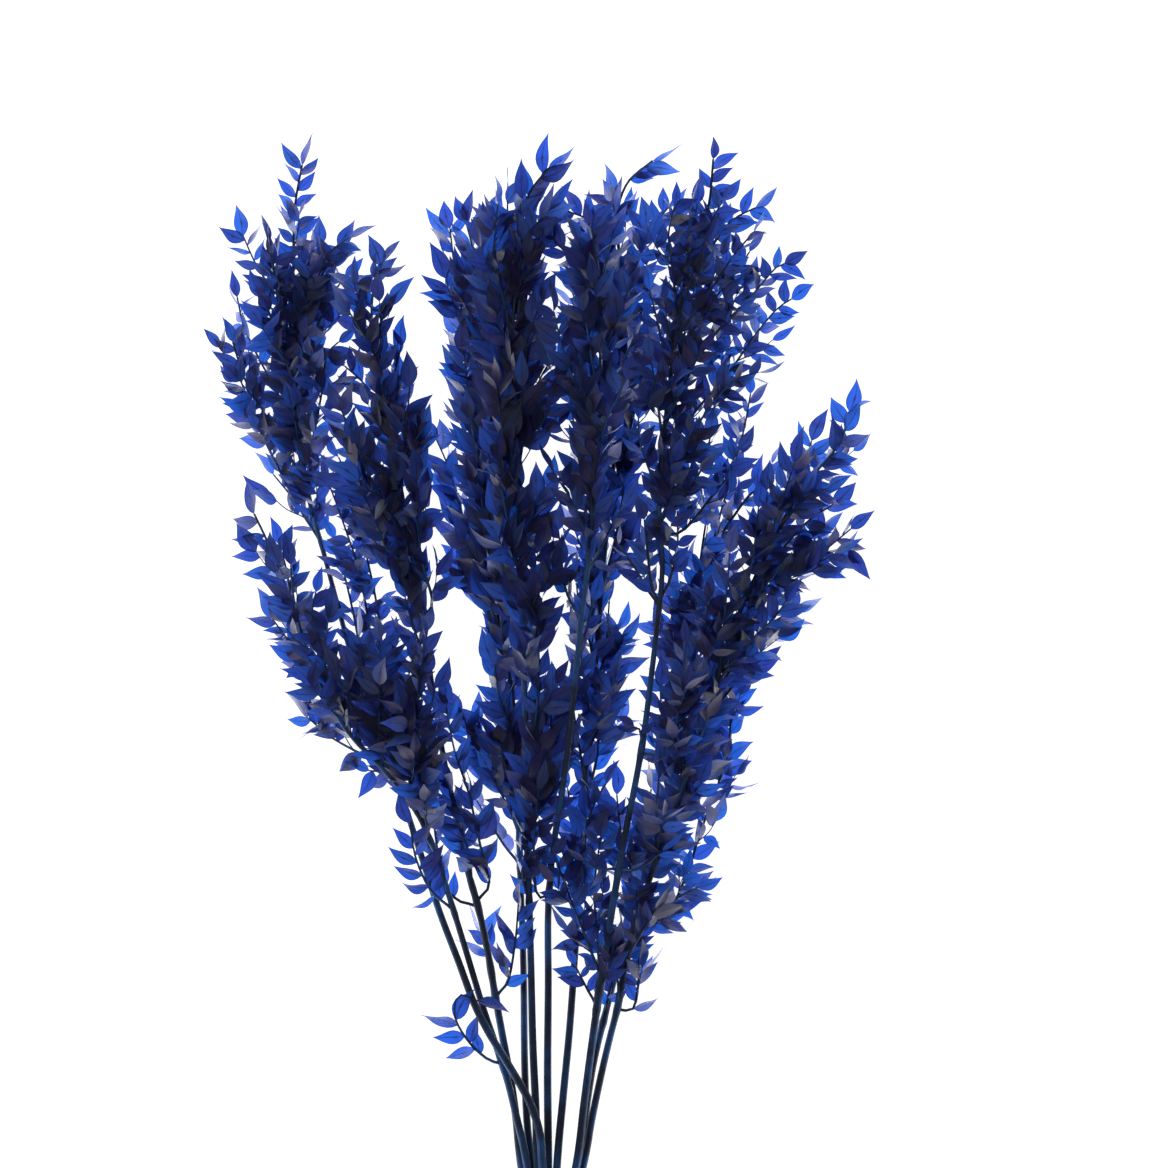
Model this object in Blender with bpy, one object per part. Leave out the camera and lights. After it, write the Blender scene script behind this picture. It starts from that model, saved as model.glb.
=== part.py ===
import math
import random

import bmesh
import bpy
import numpy as np
from mathutils import Vector
from mathutils.bvhtree import BVHTree

# A bunch of ten dried, dyed ruscus stems lying on its side, tied near the cut ends.
# Metres, +Z up. X runs across the fan of stems, Y towards the tips, Z away from the table.
# The origin is the middle of the tie's flat underside.

NAME = "ruscus_bunch"
TIE_Y = 0.050            # from the cut ends to the middle of the tie
TIE_WIDTH = 0.014
TIE_THICK = 0.0015
STALK_GAP = 0.0003       # clear space between a stalk and the tie
WIDEST_STALK = 0.0030
# x and z of the six outer stalks where the tie holds them, in order round the bundle
OUTER_STALKS = [(-0.0062, 0.0048), (0.0062, 0.0048), (0.0093, 0.0102),
                (0.0062, 0.0155), (-0.0062, 0.0155), (-0.0093, 0.0102)]
TABLE = 0.0

STALK_STEP = 0.062       # length of one straight piece of a stalk
TWIG_STEP = 0.028        # and of a twig
TWIG_RADIUS = 0.00130
TWIG_TIP_RADIUS = 0.00095
STALK_TIP_RADIUS = 0.00120

LEAF_STEP = 0.0510       # along a twig, from one leaf to the next
LEAF_THICK = 0.0010
LEAF_WIDTH = 0.46        # share of the leaf's length
SIDE_ROOT = 0.0002       # how far a leaf's root goes past the middle of its twig
END_ROOT = 0.0013        # and how far the last leaf's root is sunk in the end of its twig
RIB_AT = 0.30            # where the blade is thickest
CLEAR = 0.0004           # kept free round every leaf and twig
TOUCH = 0.0009           # leaf tips nearer the table than this lie on it
TWIG_SHIFTS = (0.0, 0.005, -0.005, 0.010, -0.010, 0.015, -0.015, 0.022, -0.022, 0.030)
GOLDEN_TURN = math.radians(137.5)
DYED = (0.030, 0.048, 0.190)
RUBBER = (0.42, 0.25, 0.11)
TRIES = 9

# Corners of one blade, from the tip round by the left side: share of length, share of width
BLADE = [(1.00, 0.00), (0.70, 0.29), (0.30, 0.50), (0.00, 0.00), (0.30, -0.50), (0.70, -0.29)]

# Each stem: leaf length, stalk radius at the cut end, where the leaves on the stalk begin,
# the route of the stalk as x, y, z with y from the cut end, and the twigs. A twig has the y
# it leaves the stalk at, how far it rises over the stalk's height, and its route in plan.
STEMS = {
    # upper left spray
    "stem_1": dict(leaf=0.0215, radius=0.0028, bare=0.545, route=[
        (0.0006, 0.000, 0.0157), (0.000, 0.050, 0.0155), (-0.004, 0.120, 0.0195), (-0.006, 0.142, 0.0215),
        (-0.013, 0.163, 0.0250), (-0.026, 0.186, 0.0290), (-0.040, 0.209, 0.0300), (-0.050, 0.229, 0.0300),
        (-0.060, 0.256, 0.0290), (-0.073, 0.290, 0.0280), (-0.086, 0.330, 0.0270), (-0.100, 0.372, 0.0265),
        (-0.115, 0.412, 0.0260), (-0.127, 0.442, 0.0260), (-0.135, 0.472, 0.0260), (-0.143, 0.502, 0.0260),
        (-0.151, 0.532, 0.0260), (-0.161, 0.570, 0.0260), (-0.169, 0.620, 0.0260), (-0.173, 0.670, 0.0260),
        (-0.171, 0.720, 0.0260), (-0.170, 0.760, 0.0270), (-0.165, 0.790, 0.0290)],
        twigs=[
            (0.412, 0.012, [(-0.119, 0.470), (-0.126, 0.515), (-0.137, 0.550), (-0.148, 0.580)]),
            (0.534, -0.014, [(-0.168, 0.562), (-0.189, 0.603), (-0.201, 0.632), (-0.211, 0.655), (-0.221, 0.668)]),
            (0.536, -0.022, [(-0.169, 0.563), (-0.185, 0.583)]),
            (0.560, 0.020, [(-0.158, 0.600), (-0.151, 0.640), (-0.148, 0.662), (-0.140, 0.671)]),
            (0.575, -0.012, [(-0.176, 0.625), (-0.196, 0.664), (-0.205, 0.684), (-0.209, 0.702)]),
            (0.585, 0.022, [(-0.170, 0.640), (-0.183, 0.680), (-0.190, 0.700)]),
            (0.600, -0.020, [(-0.160, 0.650), (-0.147, 0.688), (-0.131, 0.706)]),
            (0.610, 0.012, [(-0.172, 0.655), (-0.183, 0.700), (-0.196, 0.724), (-0.204, 0.742)]),
            (0.630, 0.016, [(-0.164, 0.670), (-0.155, 0.710), (-0.147, 0.730), (-0.133, 0.741)]),
            (0.655, 0.018, [(-0.180, 0.700), (-0.187, 0.738)]),
            (0.670, -0.014, [(-0.166, 0.705), (-0.157, 0.735)]),
        ]),
    # lower left spray, with the dark cluster that lies over stem 1
    "stem_2": dict(leaf=0.0230, radius=0.0027, bare=0.400, route=[
        (-0.0070, 0.002, 0.0155), (-0.0062, 0.050, 0.0155), (-0.0145, 0.120, 0.0155), (-0.021, 0.150, 0.0170),
        (-0.028, 0.178, 0.0190), (-0.036, 0.202, 0.0205), (-0.044, 0.226, 0.0230), (-0.054, 0.260, 0.0310),
        (-0.066, 0.300, 0.0420), (-0.077, 0.335, 0.0560), (-0.092, 0.365, 0.0690), (-0.112, 0.389, 0.0780),
        (-0.132, 0.410, 0.0790), (-0.148, 0.436, 0.0760), (-0.162, 0.470, 0.0710), (-0.174, 0.505, 0.0660),
        (-0.186, 0.535, 0.0600), (-0.196, 0.556, 0.0560)],
        twigs=[
            (0.187, 0.010, [(-0.040, 0.190), (-0.053, 0.202), (-0.0625, 0.219), (-0.060, 0.234), (-0.047, 0.230)]),
            (0.345, 0.004, [(-0.084, 0.390), (-0.079, 0.420), (-0.075, 0.440)]),
            (0.355, 0.012, [(-0.094, 0.395), (-0.096, 0.430), (-0.090, 0.458)]),
            (0.365, -0.010, [(-0.104, 0.400), (-0.112, 0.440), (-0.107, 0.468)]),
            (0.380, 0.014, [(-0.116, 0.415), (-0.124, 0.440), (-0.121, 0.464)]),
            (0.335, 0.018, [(-0.083, 0.372), (-0.086, 0.430), (-0.080, 0.478)]),
            (0.389, -0.022, [(-0.128, 0.398), (-0.146, 0.408), (-0.160, 0.420)]),
            (0.415, -0.026, [(-0.148, 0.430), (-0.162, 0.446)]),
            (0.432, 0.010, [(-0.148, 0.465), (-0.146, 0.486)]),
            (0.450, -0.012, [(-0.158, 0.485), (-0.155, 0.504)]),
            (0.470, 0.012, [(-0.169, 0.500), (-0.171, 0.522)]),
            (0.490, -0.012, [(-0.175, 0.520), (-0.180, 0.536)]),
        ]),
    # inner left spray
    "stem_3": dict(leaf=0.0240, radius=0.0028, bare=0.500, route=[
        (-0.0100, -0.004, 0.0105), (-0.0093, 0.050, 0.0102), (-0.0185, 0.120, 0.0095), (-0.022, 0.153, 0.0100),
        (-0.026, 0.180, 0.0115), (-0.031, 0.207, 0.0135), (-0.036, 0.235, 0.0170), (-0.041, 0.265, 0.0220),
        (-0.047, 0.293, 0.0290), (-0.055, 0.322, 0.0370), (-0.063, 0.360, 0.0450), (-0.071, 0.400, 0.0510),
        (-0.077, 0.440, 0.0560), (-0.083, 0.475, 0.0600), (-0.089, 0.515, 0.0620), (-0.094, 0.550, 0.0630),
        (-0.101, 0.590, 0.0630), (-0.108, 0.635, 0.0620), (-0.117, 0.680, 0.0610), (-0.116, 0.708, 0.0600),
        (-0.110, 0.724, 0.0600)],
        twigs=[
            (0.229, 0.008, [(-0.027, 0.243), (-0.022, 0.270), (-0.020, 0.295)]),
            (0.250, -0.012, [(-0.042, 0.262), (-0.046, 0.275)]),
            (0.293, -0.010, [(-0.060, 0.297), (-0.070, 0.308), (-0.074, 0.330), (-0.078, 0.360), (-0.082, 0.388)]),
            (0.294, 0.012, [(-0.0395, 0.308), (-0.045, 0.333), (-0.053, 0.370), (-0.062, 0.397), (-0.068, 0.428)]),
            (0.482, 0.014, [(-0.077, 0.497), (-0.084, 0.525), (-0.088, 0.560), (-0.090, 0.590), (-0.086, 0.612)]),
            (0.515, -0.014, [(-0.102, 0.530), (-0.117, 0.551), (-0.129, 0.573), (-0.140, 0.594)]),
            (0.530, 0.010, [(-0.100, 0.552), (-0.114, 0.572), (-0.127, 0.600), (-0.137, 0.624)]),
            (0.565, 0.016, [(-0.096, 0.600), (-0.093, 0.626), (-0.092, 0.640)]),
            (0.585, -0.014, [(-0.110, 0.620), (-0.122, 0.642), (-0.136, 0.655)]),
            (0.610, -0.010, [(-0.103, 0.645), (-0.098, 0.668)]),
            (0.635, 0.012, [(-0.117, 0.665), (-0.132, 0.690)]),
            (0.650, 0.012, [(-0.112, 0.680), (-0.105, 0.694)]),
        ]),
    # left middle spray, behind
    "stem_4": dict(leaf=0.0232, radius=0.0026, bare=0.340, route=[
        (-0.0066, 0.004, 0.0050), (-0.0062, 0.050, 0.0048), (-0.0115, 0.120, 0.0055), (-0.0145, 0.150, 0.0065),
        (-0.0160, 0.190, 0.0080), (-0.0165, 0.240, 0.0110), (-0.0175, 0.280, 0.0145), (-0.0190, 0.320, 0.0175),
        (-0.020, 0.360, 0.0200), (-0.022, 0.410, 0.0220), (-0.027, 0.460, 0.0235), (-0.032, 0.510, 0.0245),
        (-0.036, 0.560, 0.0250), (-0.040, 0.620, 0.0250), (-0.045, 0.680, 0.0250), (-0.050, 0.730, 0.0250),
        (-0.055, 0.752, 0.0250)],
        twigs=[
            (0.320, -0.006, [(-0.029, 0.333), (-0.040, 0.350), (-0.048, 0.364)]),
            (0.335, 0.014, [(-0.028, 0.362), (-0.039, 0.382)]),
            (0.350, 0.006, [(-0.026, 0.380), (-0.034, 0.402)]),
            (0.365, -0.010, [(-0.026, 0.400), (-0.031, 0.440), (-0.034, 0.466)]),
            (0.400, 0.016, [(-0.032, 0.430), (-0.036, 0.455)]),
            (0.440, 0.012, [(-0.030, 0.470), (-0.032, 0.505)]),
            (0.450, -0.010, [(-0.037, 0.478), (-0.047, 0.508), (-0.053, 0.535), (-0.061, 0.568), (-0.068, 0.590),
                             (-0.075, 0.606)]),
            (0.485, 0.014, [(-0.040, 0.525), (-0.045, 0.570)]),
            (0.500, -0.012, [(-0.028, 0.545), (-0.023, 0.590)]),
            (0.545, 0.014, [(-0.046, 0.590), (-0.052, 0.620)]),
            (0.560, -0.010, [(-0.050, 0.610), (-0.055, 0.650), (-0.058, 0.690), (-0.063, 0.722), (-0.066, 0.748)]),
            (0.590, 0.016, [(-0.037, 0.630), (-0.034, 0.665)]),
            (0.620, -0.014, [(-0.042, 0.660), (-0.036, 0.705)]),
            (0.640, 0.014, [(-0.050, 0.680), (-0.056, 0.705)]),
            (0.670, 0.010, [(-0.044, 0.710), (-0.041, 0.750)]),
        ]),
    # left middle spray, above
    "stem_5": dict(leaf=0.0240, radius=0.0027, bare=0.470, route=[
        (-0.0033, -0.002, 0.0102), (-0.0031, 0.050, 0.0102), (-0.0072, 0.120, 0.0105), (-0.0085, 0.160, 0.0130),
        (-0.0103, 0.200, 0.0165), (-0.0115, 0.250, 0.0220), (-0.0125, 0.290, 0.0290), (-0.014, 0.340, 0.0390),
        (-0.015, 0.400, 0.0520), (-0.016, 0.460, 0.0620), (-0.018, 0.520, 0.0670), (-0.020, 0.580, 0.0690),
        (-0.022, 0.640, 0.0690), (-0.023, 0.700, 0.0680), (-0.020, 0.745, 0.0660), (-0.012, 0.770, 0.0650),
        (0.000, 0.786, 0.0640)],
        twigs=[
            (0.380, 0.010, [(-0.008, 0.420), (-0.006, 0.455), (-0.007, 0.490)]),
            (0.440, -0.012, [(-0.022, 0.475), (-0.024, 0.505)]),
            (0.470, 0.014, [(-0.008, 0.500), (0.004, 0.520)]),
            (0.500, 0.012, [(-0.025, 0.540), (-0.032, 0.580)]),
            (0.515, -0.014, [(-0.012, 0.545), (-0.002, 0.575)]),
            (0.550, 0.012, [(-0.028, 0.600), (-0.034, 0.640)]),
            (0.575, 0.012, [(-0.012, 0.625), (-0.003, 0.650), (0.007, 0.662)]),
            (0.600, -0.014, [(-0.028, 0.640), (-0.036, 0.680), (-0.040, 0.712)]),
            (0.610, 0.008, [(-0.017, 0.660), (-0.010, 0.683), (-0.004, 0.698)]),
            (0.640, -0.012, [(-0.016, 0.690), (-0.010, 0.722), (0.000, 0.742)]),
            (0.660, 0.014, [(-0.030, 0.700), (-0.036, 0.736), (-0.033, 0.762)]),
            (0.680, 0.010, [(-0.020, 0.715), (-0.012, 0.742), (0.001, 0.758)]),
            (0.700, -0.010, [(-0.027, 0.730), (-0.027, 0.765)]),
        ]),
    # middle spray, the front one
    "stem_6": dict(leaf=0.0232, radius=0.0028, bare=0.520, route=[
        (0.0000, 0.000, 0.0049), (0.0000, 0.050, 0.0048), (0.000, 0.120, 0.0060), (-0.0005, 0.180, 0.0090),
        (0.000, 0.240, 0.0150), (0.000, 0.290, 0.0240), (0.003, 0.330, 0.0360), (0.0085, 0.365, 0.0500),
        (0.014, 0.405, 0.0650), (0.018, 0.445, 0.0780), (0.022, 0.485, 0.0860), (0.027, 0.525, 0.0890),
        (0.030, 0.570, 0.0890), (0.032, 0.620, 0.0870), (0.035, 0.665, 0.0840), (0.034, 0.710, 0.0800),
        (0.029, 0.748, 0.0770)],
        twigs=[
            (0.297, 0.006, [(-0.007, 0.300), (-0.0095, 0.318), (-0.009, 0.345), (-0.006, 0.372)]),
            (0.297, -0.004, [(0.009, 0.298), (0.015, 0.312), (0.017, 0.335)]),
            (0.480, -0.018, [(0.012, 0.505), (0.007, 0.545)]),
            (0.510, -0.018, [(0.036, 0.535), (0.049, 0.560)]),
            (0.530, 0.012, [(0.018, 0.560), (0.006, 0.580)]),
            (0.550, -0.016, [(0.038, 0.590), (0.044, 0.620)]),
            (0.565, -0.014, [(0.020, 0.600), (0.014, 0.640)]),
            (0.580, 0.014, [(0.040, 0.620), (0.052, 0.645)]),
            (0.590, 0.010, [(0.022, 0.630), (0.010, 0.665), (0.004, 0.690)]),
            (0.610, -0.020, [(0.045, 0.645), (0.058, 0.675)]),
            (0.630, 0.014, [(0.028, 0.665), (0.024, 0.690)]),
            (0.650, 0.010, [(0.044, 0.680), (0.054, 0.705)]),
            (0.670, -0.012, [(0.026, 0.705), (0.014, 0.727), (0.004, 0.738)]),
            (0.690, -0.012, [(0.038, 0.720), (0.043, 0.742)]),
        ]),
    # middle spray, behind stem 6
    "stem_7": dict(leaf=0.0235, radius=0.0027, bare=0.480, route=[
        (0.0032, 0.006, 0.0102), (0.0031, 0.050, 0.0102), (0.0060, 0.120, 0.0085), (0.0100, 0.165, 0.0095),
        (0.0143, 0.210, 0.0120), (0.0172, 0.250, 0.0145), (0.0197, 0.290, 0.0170), (0.022, 0.330, 0.0190),
        (0.025, 0.380, 0.0215), (0.029, 0.430, 0.0235), (0.033, 0.470, 0.0245), (0.037, 0.520, 0.0250),
        (0.042, 0.570, 0.0250), (0.048, 0.630, 0.0250), (0.050, 0.680, 0.0255), (0.048, 0.725, 0.0265),
        (0.046, 0.755, 0.0280), (0.053, 0.778, 0.0290), (0.070, 0.793, 0.0300)],
        twigs=[
            (0.300, 0.012, [(0.024, 0.330), (0.026, 0.352)]),
            (0.315, -0.008, [(0.017, 0.345), (0.013, 0.372)]),
            (0.330, 0.014, [(0.030, 0.360), (0.039, 0.376)]),
            (0.370, 0.012, [(0.020, 0.405), (0.016, 0.432)]),
            (0.350, -0.010, [(0.032, 0.390), (0.036, 0.430), (0.039, 0.470), (0.041, 0.498)]),
            (0.390, 0.014, [(0.036, 0.420), (0.045, 0.446)]),
            (0.410, 0.020, [(0.025, 0.440), (0.020, 0.475)]),
            (0.430, -0.006, [(0.038, 0.460), (0.047, 0.478)]),
            (0.470, -0.012, [(0.030, 0.510), (0.018, 0.545)]),
            (0.500, 0.010, [(0.045, 0.540), (0.052, 0.580)]),
            (0.540, -0.012, [(0.036, 0.580), (0.028, 0.625)]),
            (0.560, 0.012, [(0.052, 0.600), (0.062, 0.645), (0.066, 0.675)]),
            (0.600, -0.012, [(0.040, 0.640), (0.024, 0.680), (0.016, 0.706)]),
            (0.620, -0.010, [(0.057, 0.660), (0.064, 0.700)]),
            (0.650, 0.010, [(0.042, 0.690), (0.034, 0.725), (0.029, 0.752)]),
            (0.680, 0.010, [(0.057, 0.715), (0.066, 0.742), (0.081, 0.762)]),
            (0.735, -0.006, [(0.040, 0.748), (0.028, 0.754), (0.014, 0.759)]),
        ]),
    # upper right spray
    "stem_8": dict(leaf=0.0200, radius=0.0028, bare=0.550, route=[
        (0.0066, -0.003, 0.0155), (0.0062, 0.050, 0.0155), (0.0190, 0.120, 0.0170), (0.024, 0.160, 0.0210),
        (0.0285, 0.195, 0.0250), (0.034, 0.235, 0.0310), (0.039, 0.268, 0.0370), (0.045, 0.305, 0.0440),
        (0.051, 0.340, 0.0510), (0.058, 0.375, 0.0580), (0.064, 0.410, 0.0650), (0.069, 0.450, 0.0720),
        (0.073, 0.485, 0.0770), (0.076, 0.520, 0.0800), (0.074, 0.560, 0.0810), (0.076, 0.600, 0.0810),
        (0.082, 0.650, 0.0800), (0.089, 0.700, 0.0780), (0.099, 0.740, 0.0760), (0.107, 0.762, 0.0740),
        (0.110, 0.792, 0.0720)],
        twigs=[
            (0.240, -0.006, [(0.026, 0.270), (0.016, 0.296), (0.008, 0.318), (0.003, 0.334)]),
            (0.236, -0.012, [(0.033, 0.270), (0.031, 0.305), (0.035, 0.340)]),
            (0.318, 0.008, [(0.034, 0.319), (0.024, 0.325)]),
            (0.314, 0.014, [(0.060, 0.319), (0.076, 0.331)]),
            (0.398, 0.010, [(0.060, 0.414), (0.052, 0.412)]),
            (0.393, 0.012, [(0.077, 0.396), (0.085, 0.415), (0.089, 0.445), (0.092, 0.470)]),
            (0.490, -0.014, [(0.066, 0.506), (0.056, 0.523), (0.042, 0.542)]),
            (0.535, -0.018, [(0.090, 0.545), (0.107, 0.565), (0.122, 0.585), (0.130, 0.610), (0.135, 0.636)]),
            (0.545, 0.010, [(0.086, 0.575), (0.094, 0.610)]),
            (0.560, 0.012, [(0.062, 0.600), (0.060, 0.620)]),
            (0.565, 0.004, [(0.090, 0.600), (0.110, 0.630), (0.125, 0.645), (0.140, 0.650)]),
            (0.580, -0.012, [(0.095, 0.620), (0.118, 0.647), (0.138, 0.675), (0.152, 0.692), (0.162, 0.699)]),
            (0.600, 0.014, [(0.072, 0.635), (0.068, 0.660)]),
            (0.610, 0.014, [(0.090, 0.640), (0.102, 0.665)]),
            (0.625, 0.008, [(0.096, 0.655), (0.115, 0.680), (0.133, 0.698), (0.150, 0.718), (0.157, 0.722)]),
            (0.640, -0.016, [(0.075, 0.675), (0.068, 0.705)]),
            (0.655, -0.018, [(0.098, 0.690), (0.112, 0.715)]),
            (0.665, 0.012, [(0.105, 0.700), (0.124, 0.728), (0.136, 0.742)]),
            (0.680, 0.016, [(0.083, 0.715), (0.080, 0.740), (0.084, 0.760)]),
            (0.690, -0.010, [(0.104, 0.725), (0.121, 0.750), (0.138, 0.760)]),
            (0.700, 0.012, [(0.093, 0.730), (0.094, 0.755)]),
        ]),
    # lower right spray, behind
    "stem_9": dict(leaf=0.0220, radius=0.0027, bare=0.300, route=[
        (0.0066, 0.003, 0.0049), (0.0062, 0.050, 0.0048), (0.0205, 0.120, 0.0055), (0.026, 0.160, 0.0080),
        (0.031, 0.190, 0.0100), (0.039, 0.223, 0.0115), (0.046, 0.250, 0.0125), (0.053, 0.276, 0.0135),
        (0.060, 0.303, 0.0150), (0.071, 0.332, 0.0170), (0.081, 0.360, 0.0190), (0.087, 0.395, 0.0205),
        (0.091, 0.440, 0.0220), (0.095, 0.485, 0.0235), (0.104, 0.520, 0.0240), (0.116, 0.542, 0.0240),
        (0.126, 0.557, 0.0240), (0.136, 0.570, 0.0240), (0.146, 0.577, 0.0240), (0.150, 0.590, 0.0250)],
        twigs=[
            (0.273, 0.004, [(0.066, 0.276), (0.083, 0.293), (0.093, 0.315), (0.103, 0.345), (0.114, 0.375),
                            (0.121, 0.398), (0.123, 0.425), (0.130, 0.445), (0.139, 0.466)]),
            (0.310, 0.010, [(0.066, 0.340), (0.069, 0.372)]),
            (0.340, -0.008, [(0.080, 0.372), (0.092, 0.395), (0.099, 0.415)]),
            (0.365, 0.010, [(0.077, 0.405), (0.075, 0.440)]),
            (0.400, 0.012, [(0.094, 0.440), (0.105, 0.470)]),
            (0.420, -0.010, [(0.083, 0.465), (0.084, 0.505)]),
            (0.450, 0.010, [(0.098, 0.490), (0.104, 0.520)]),
            (0.480, -0.012, [(0.105, 0.505), (0.117, 0.520)]),
            (0.500, 0.010, [(0.104, 0.540), (0.108, 0.565)]),
            (0.525, -0.010, [(0.118, 0.565), (0.124, 0.585)]),
        ]),
    # lower right spray, the outer one
    "stem_10": dict(leaf=0.0225, radius=0.0026, bare=0.250, route=[
        (0.0099, 0.008, 0.0102), (0.0093, 0.050, 0.0102), (0.0240, 0.120, 0.0105), (0.029, 0.148, 0.0125),
        (0.035, 0.177, 0.0150), (0.041, 0.203, 0.0175), (0.047, 0.227, 0.0205), (0.051, 0.250, 0.0250),
        (0.058, 0.280, 0.0310), (0.069, 0.315, 0.0390), (0.082, 0.350, 0.0470), (0.095, 0.390, 0.0550),
        (0.108, 0.430, 0.0600), (0.120, 0.470, 0.0630), (0.134, 0.505, 0.0640), (0.150, 0.538, 0.0640),
        (0.166, 0.568, 0.0630), (0.182, 0.588, 0.0610), (0.195, 0.604, 0.0600), (0.201, 0.624, 0.0590)],
        twigs=[
            (0.223, -0.006, [(0.056, 0.223), (0.060, 0.236), (0.061, 0.262), (0.061, 0.282)]),
            (0.255, 0.012, [(0.060, 0.272), (0.072, 0.292)]),
            (0.275, -0.010, [(0.054, 0.300), (0.055, 0.325)]),
            (0.320, 0.012, [(0.072, 0.350), (0.074, 0.385)]),
            (0.345, -0.010, [(0.094, 0.370), (0.108, 0.392)]),
            (0.370, 0.012, [(0.090, 0.405), (0.094, 0.440)]),
            (0.395, -0.012, [(0.108, 0.420), (0.128, 0.446), (0.142, 0.458)]),
            (0.420, 0.012, [(0.104, 0.460), (0.106, 0.500)]),
            (0.430, -0.014, [(0.125, 0.455), (0.145, 0.480), (0.165, 0.492)]),
            (0.450, 0.012, [(0.118, 0.495), (0.121, 0.530)]),
            (0.470, -0.010, [(0.140, 0.495), (0.167, 0.519), (0.186, 0.533), (0.202, 0.546)]),
            (0.485, 0.012, [(0.136, 0.525), (0.140, 0.560)]),
            (0.505, -0.012, [(0.150, 0.525), (0.172, 0.550), (0.190, 0.562)]),
            (0.520, 0.014, [(0.154, 0.560), (0.164, 0.590)]),
            (0.545, 0.010, [(0.170, 0.565), (0.186, 0.573)]),
            (0.560, -0.012, [(0.172, 0.590), (0.176, 0.605)]),
        ]),
}


def clear_scene():
    for obj in list(bpy.data.objects):
        bpy.data.objects.remove(obj)


def new_collection(name):
    collection = bpy.data.collections.new(name)
    bpy.context.scene.collection.children.link(collection)
    return collection


def smooth_path(points, lead=None, fine=10):
    """A smooth line through all the points. lead is the direction it starts in."""
    p = [Vector(point) for point in points]
    before = p[0] - (lead if lead is not None else p[1] - p[0])
    after = 2 * p[-1] - p[-2]
    p = [before] + p + [after]
    line = []
    for i in range(1, len(p) - 2):
        a, b, c, d = p[i - 1:i + 3]
        for k in range(fine):
            t = k / fine
            line.append(0.5 * (2 * b + (c - a) * t + (2 * a - 5 * b + 4 * c - d) * t * t
                               + (3 * b - a - 3 * c + d) * t ** 3))
    line.append(p[-2])
    return line


def lengths_along(line):
    total = [0.0]
    for a, b in zip(line, line[1:]):
        total.append(total[-1] + (b - a).length)
    return total


def point_at(line, reach, distance):
    """The point and the direction at a distance along a line."""
    i = int(np.searchsorted(reach, distance)) - 1
    i = max(0, min(i, len(line) - 2))
    share = (distance - reach[i]) / max(reach[i + 1] - reach[i], 1e-9)
    return line[i].lerp(line[i + 1], min(1.0, share)), (line[i + 1] - line[i]).normalized()


def resample(line, step):
    reach = lengths_along(line)
    count = max(2, round(reach[-1] / step))
    return [point_at(line, reach, reach[-1] * k / count)[0] for k in range(count + 1)]


def ring(name, sides, collection):
    """A small flat ring of radius 1, the section of a tube."""
    curve = bpy.data.curves.new(name, "CURVE")
    curve.dimensions = "2D"
    curve.render_resolution_u = 0
    spline = curve.splines.new("POLY")
    spline.points.add(sides - 1)
    for k, point in enumerate(spline.points):
        angle = 2 * math.pi * k / sides
        point.co = (math.cos(angle), math.sin(angle), 0.0, 1.0)
    spline.use_cyclic_u = True
    obj = bpy.data.objects.new(name, curve)
    collection.objects.link(obj)
    return obj


def tube(name, line, radius, tip_radius, section, collection):
    """A tapering tube along a line, as a closed mesh."""
    curve = bpy.data.curves.new(name, "CURVE")
    curve.dimensions = "3D"
    curve.bevel_mode = "OBJECT"
    curve.bevel_object = section
    curve.use_fill_caps = True
    curve.render_resolution_u = 0
    spline = curve.splines.new("POLY")
    spline.points.add(len(line) - 1)
    reach = lengths_along(line)
    for place, point, distance in zip(line, spline.points, reach):
        share = distance / reach[-1]
        point.co = (*place, 1.0)
        point.radius = radius + (tip_radius - radius) * share
    holder = bpy.data.objects.new(name, curve)
    collection.objects.link(holder)
    mesh = bpy.data.meshes.new_from_object(holder.evaluated_get(bpy.context.evaluated_depsgraph_get()))
    bpy.data.objects.remove(holder)
    bm = bmesh.new()
    bm.from_mesh(mesh)
    bmesh.ops.remove_doubles(bm, verts=bm.verts, dist=1e-6)
    bmesh.ops.triangulate(bm, faces=bm.faces)
    bmesh.ops.recalc_face_normals(bm, faces=bm.faces)
    bm.to_mesh(mesh)
    bm.free()
    obj = bpy.data.objects.new(name, mesh)
    collection.objects.link(obj)
    return obj


def blade_mesh(name, root, along, normal, length, width, thick, bend):
    """One pointed leaf: six corners round a thicker midrib, bent back towards its tip."""
    across = normal.cross(along)
    bm = bmesh.new()
    bmesh.ops.create_uvsphere(bm, u_segments=6, v_segments=2, radius=1.0)
    for vert in bm.verts:
        if abs(vert.co.z) > 0.5:
            u, w, lift = RIB_AT, 0.0, vert.co.z * thick / 2
        else:
            corner = round(math.atan2(vert.co.y, vert.co.x) / math.radians(60)) % 6
            u, w = BLADE[corner]
            lift = 0.0
        lift -= bend * u * u * length
        place = root + along * (u * length) + across * (w * width) + normal * lift
        vert.co = place
    mesh = bpy.data.meshes.new(name)
    bm.to_mesh(mesh)
    bm.free()
    return mesh


class Space:
    """What has been placed so far, with its owner, to keep new pieces clear of it."""

    def __init__(self):
        self.low, self.high, self.trees, self.owners = [], [], [], []

    def add(self, mesh, owner):
        points = np.array([v.co[:] for v in mesh.vertices])
        self.low.append(points.min(axis=0))
        self.high.append(points.max(axis=0))
        self.trees.append(tree_of(mesh))
        self.owners.append(owner)

    def hits(self, mesh, skip):
        if not self.trees:
            return False
        points = np.array([v.co[:] for v in mesh.vertices])
        near = ((np.array(self.low) < points.max(axis=0)) & (np.array(self.high) > points.min(axis=0))).all(axis=1)
        tree = tree_of(mesh)
        for i in np.nonzero(near)[0]:
            if self.owners[i] not in skip and tree.overlap(self.trees[i]):
                return True
        return False


def tree_of(mesh):
    return BVHTree.FromPolygons([v.co[:] for v in mesh.vertices], [p.vertices[:] for p in mesh.polygons])


def in_frame(point):
    return Vector((point[0], point[1] - TIE_Y, point[2]))


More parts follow.
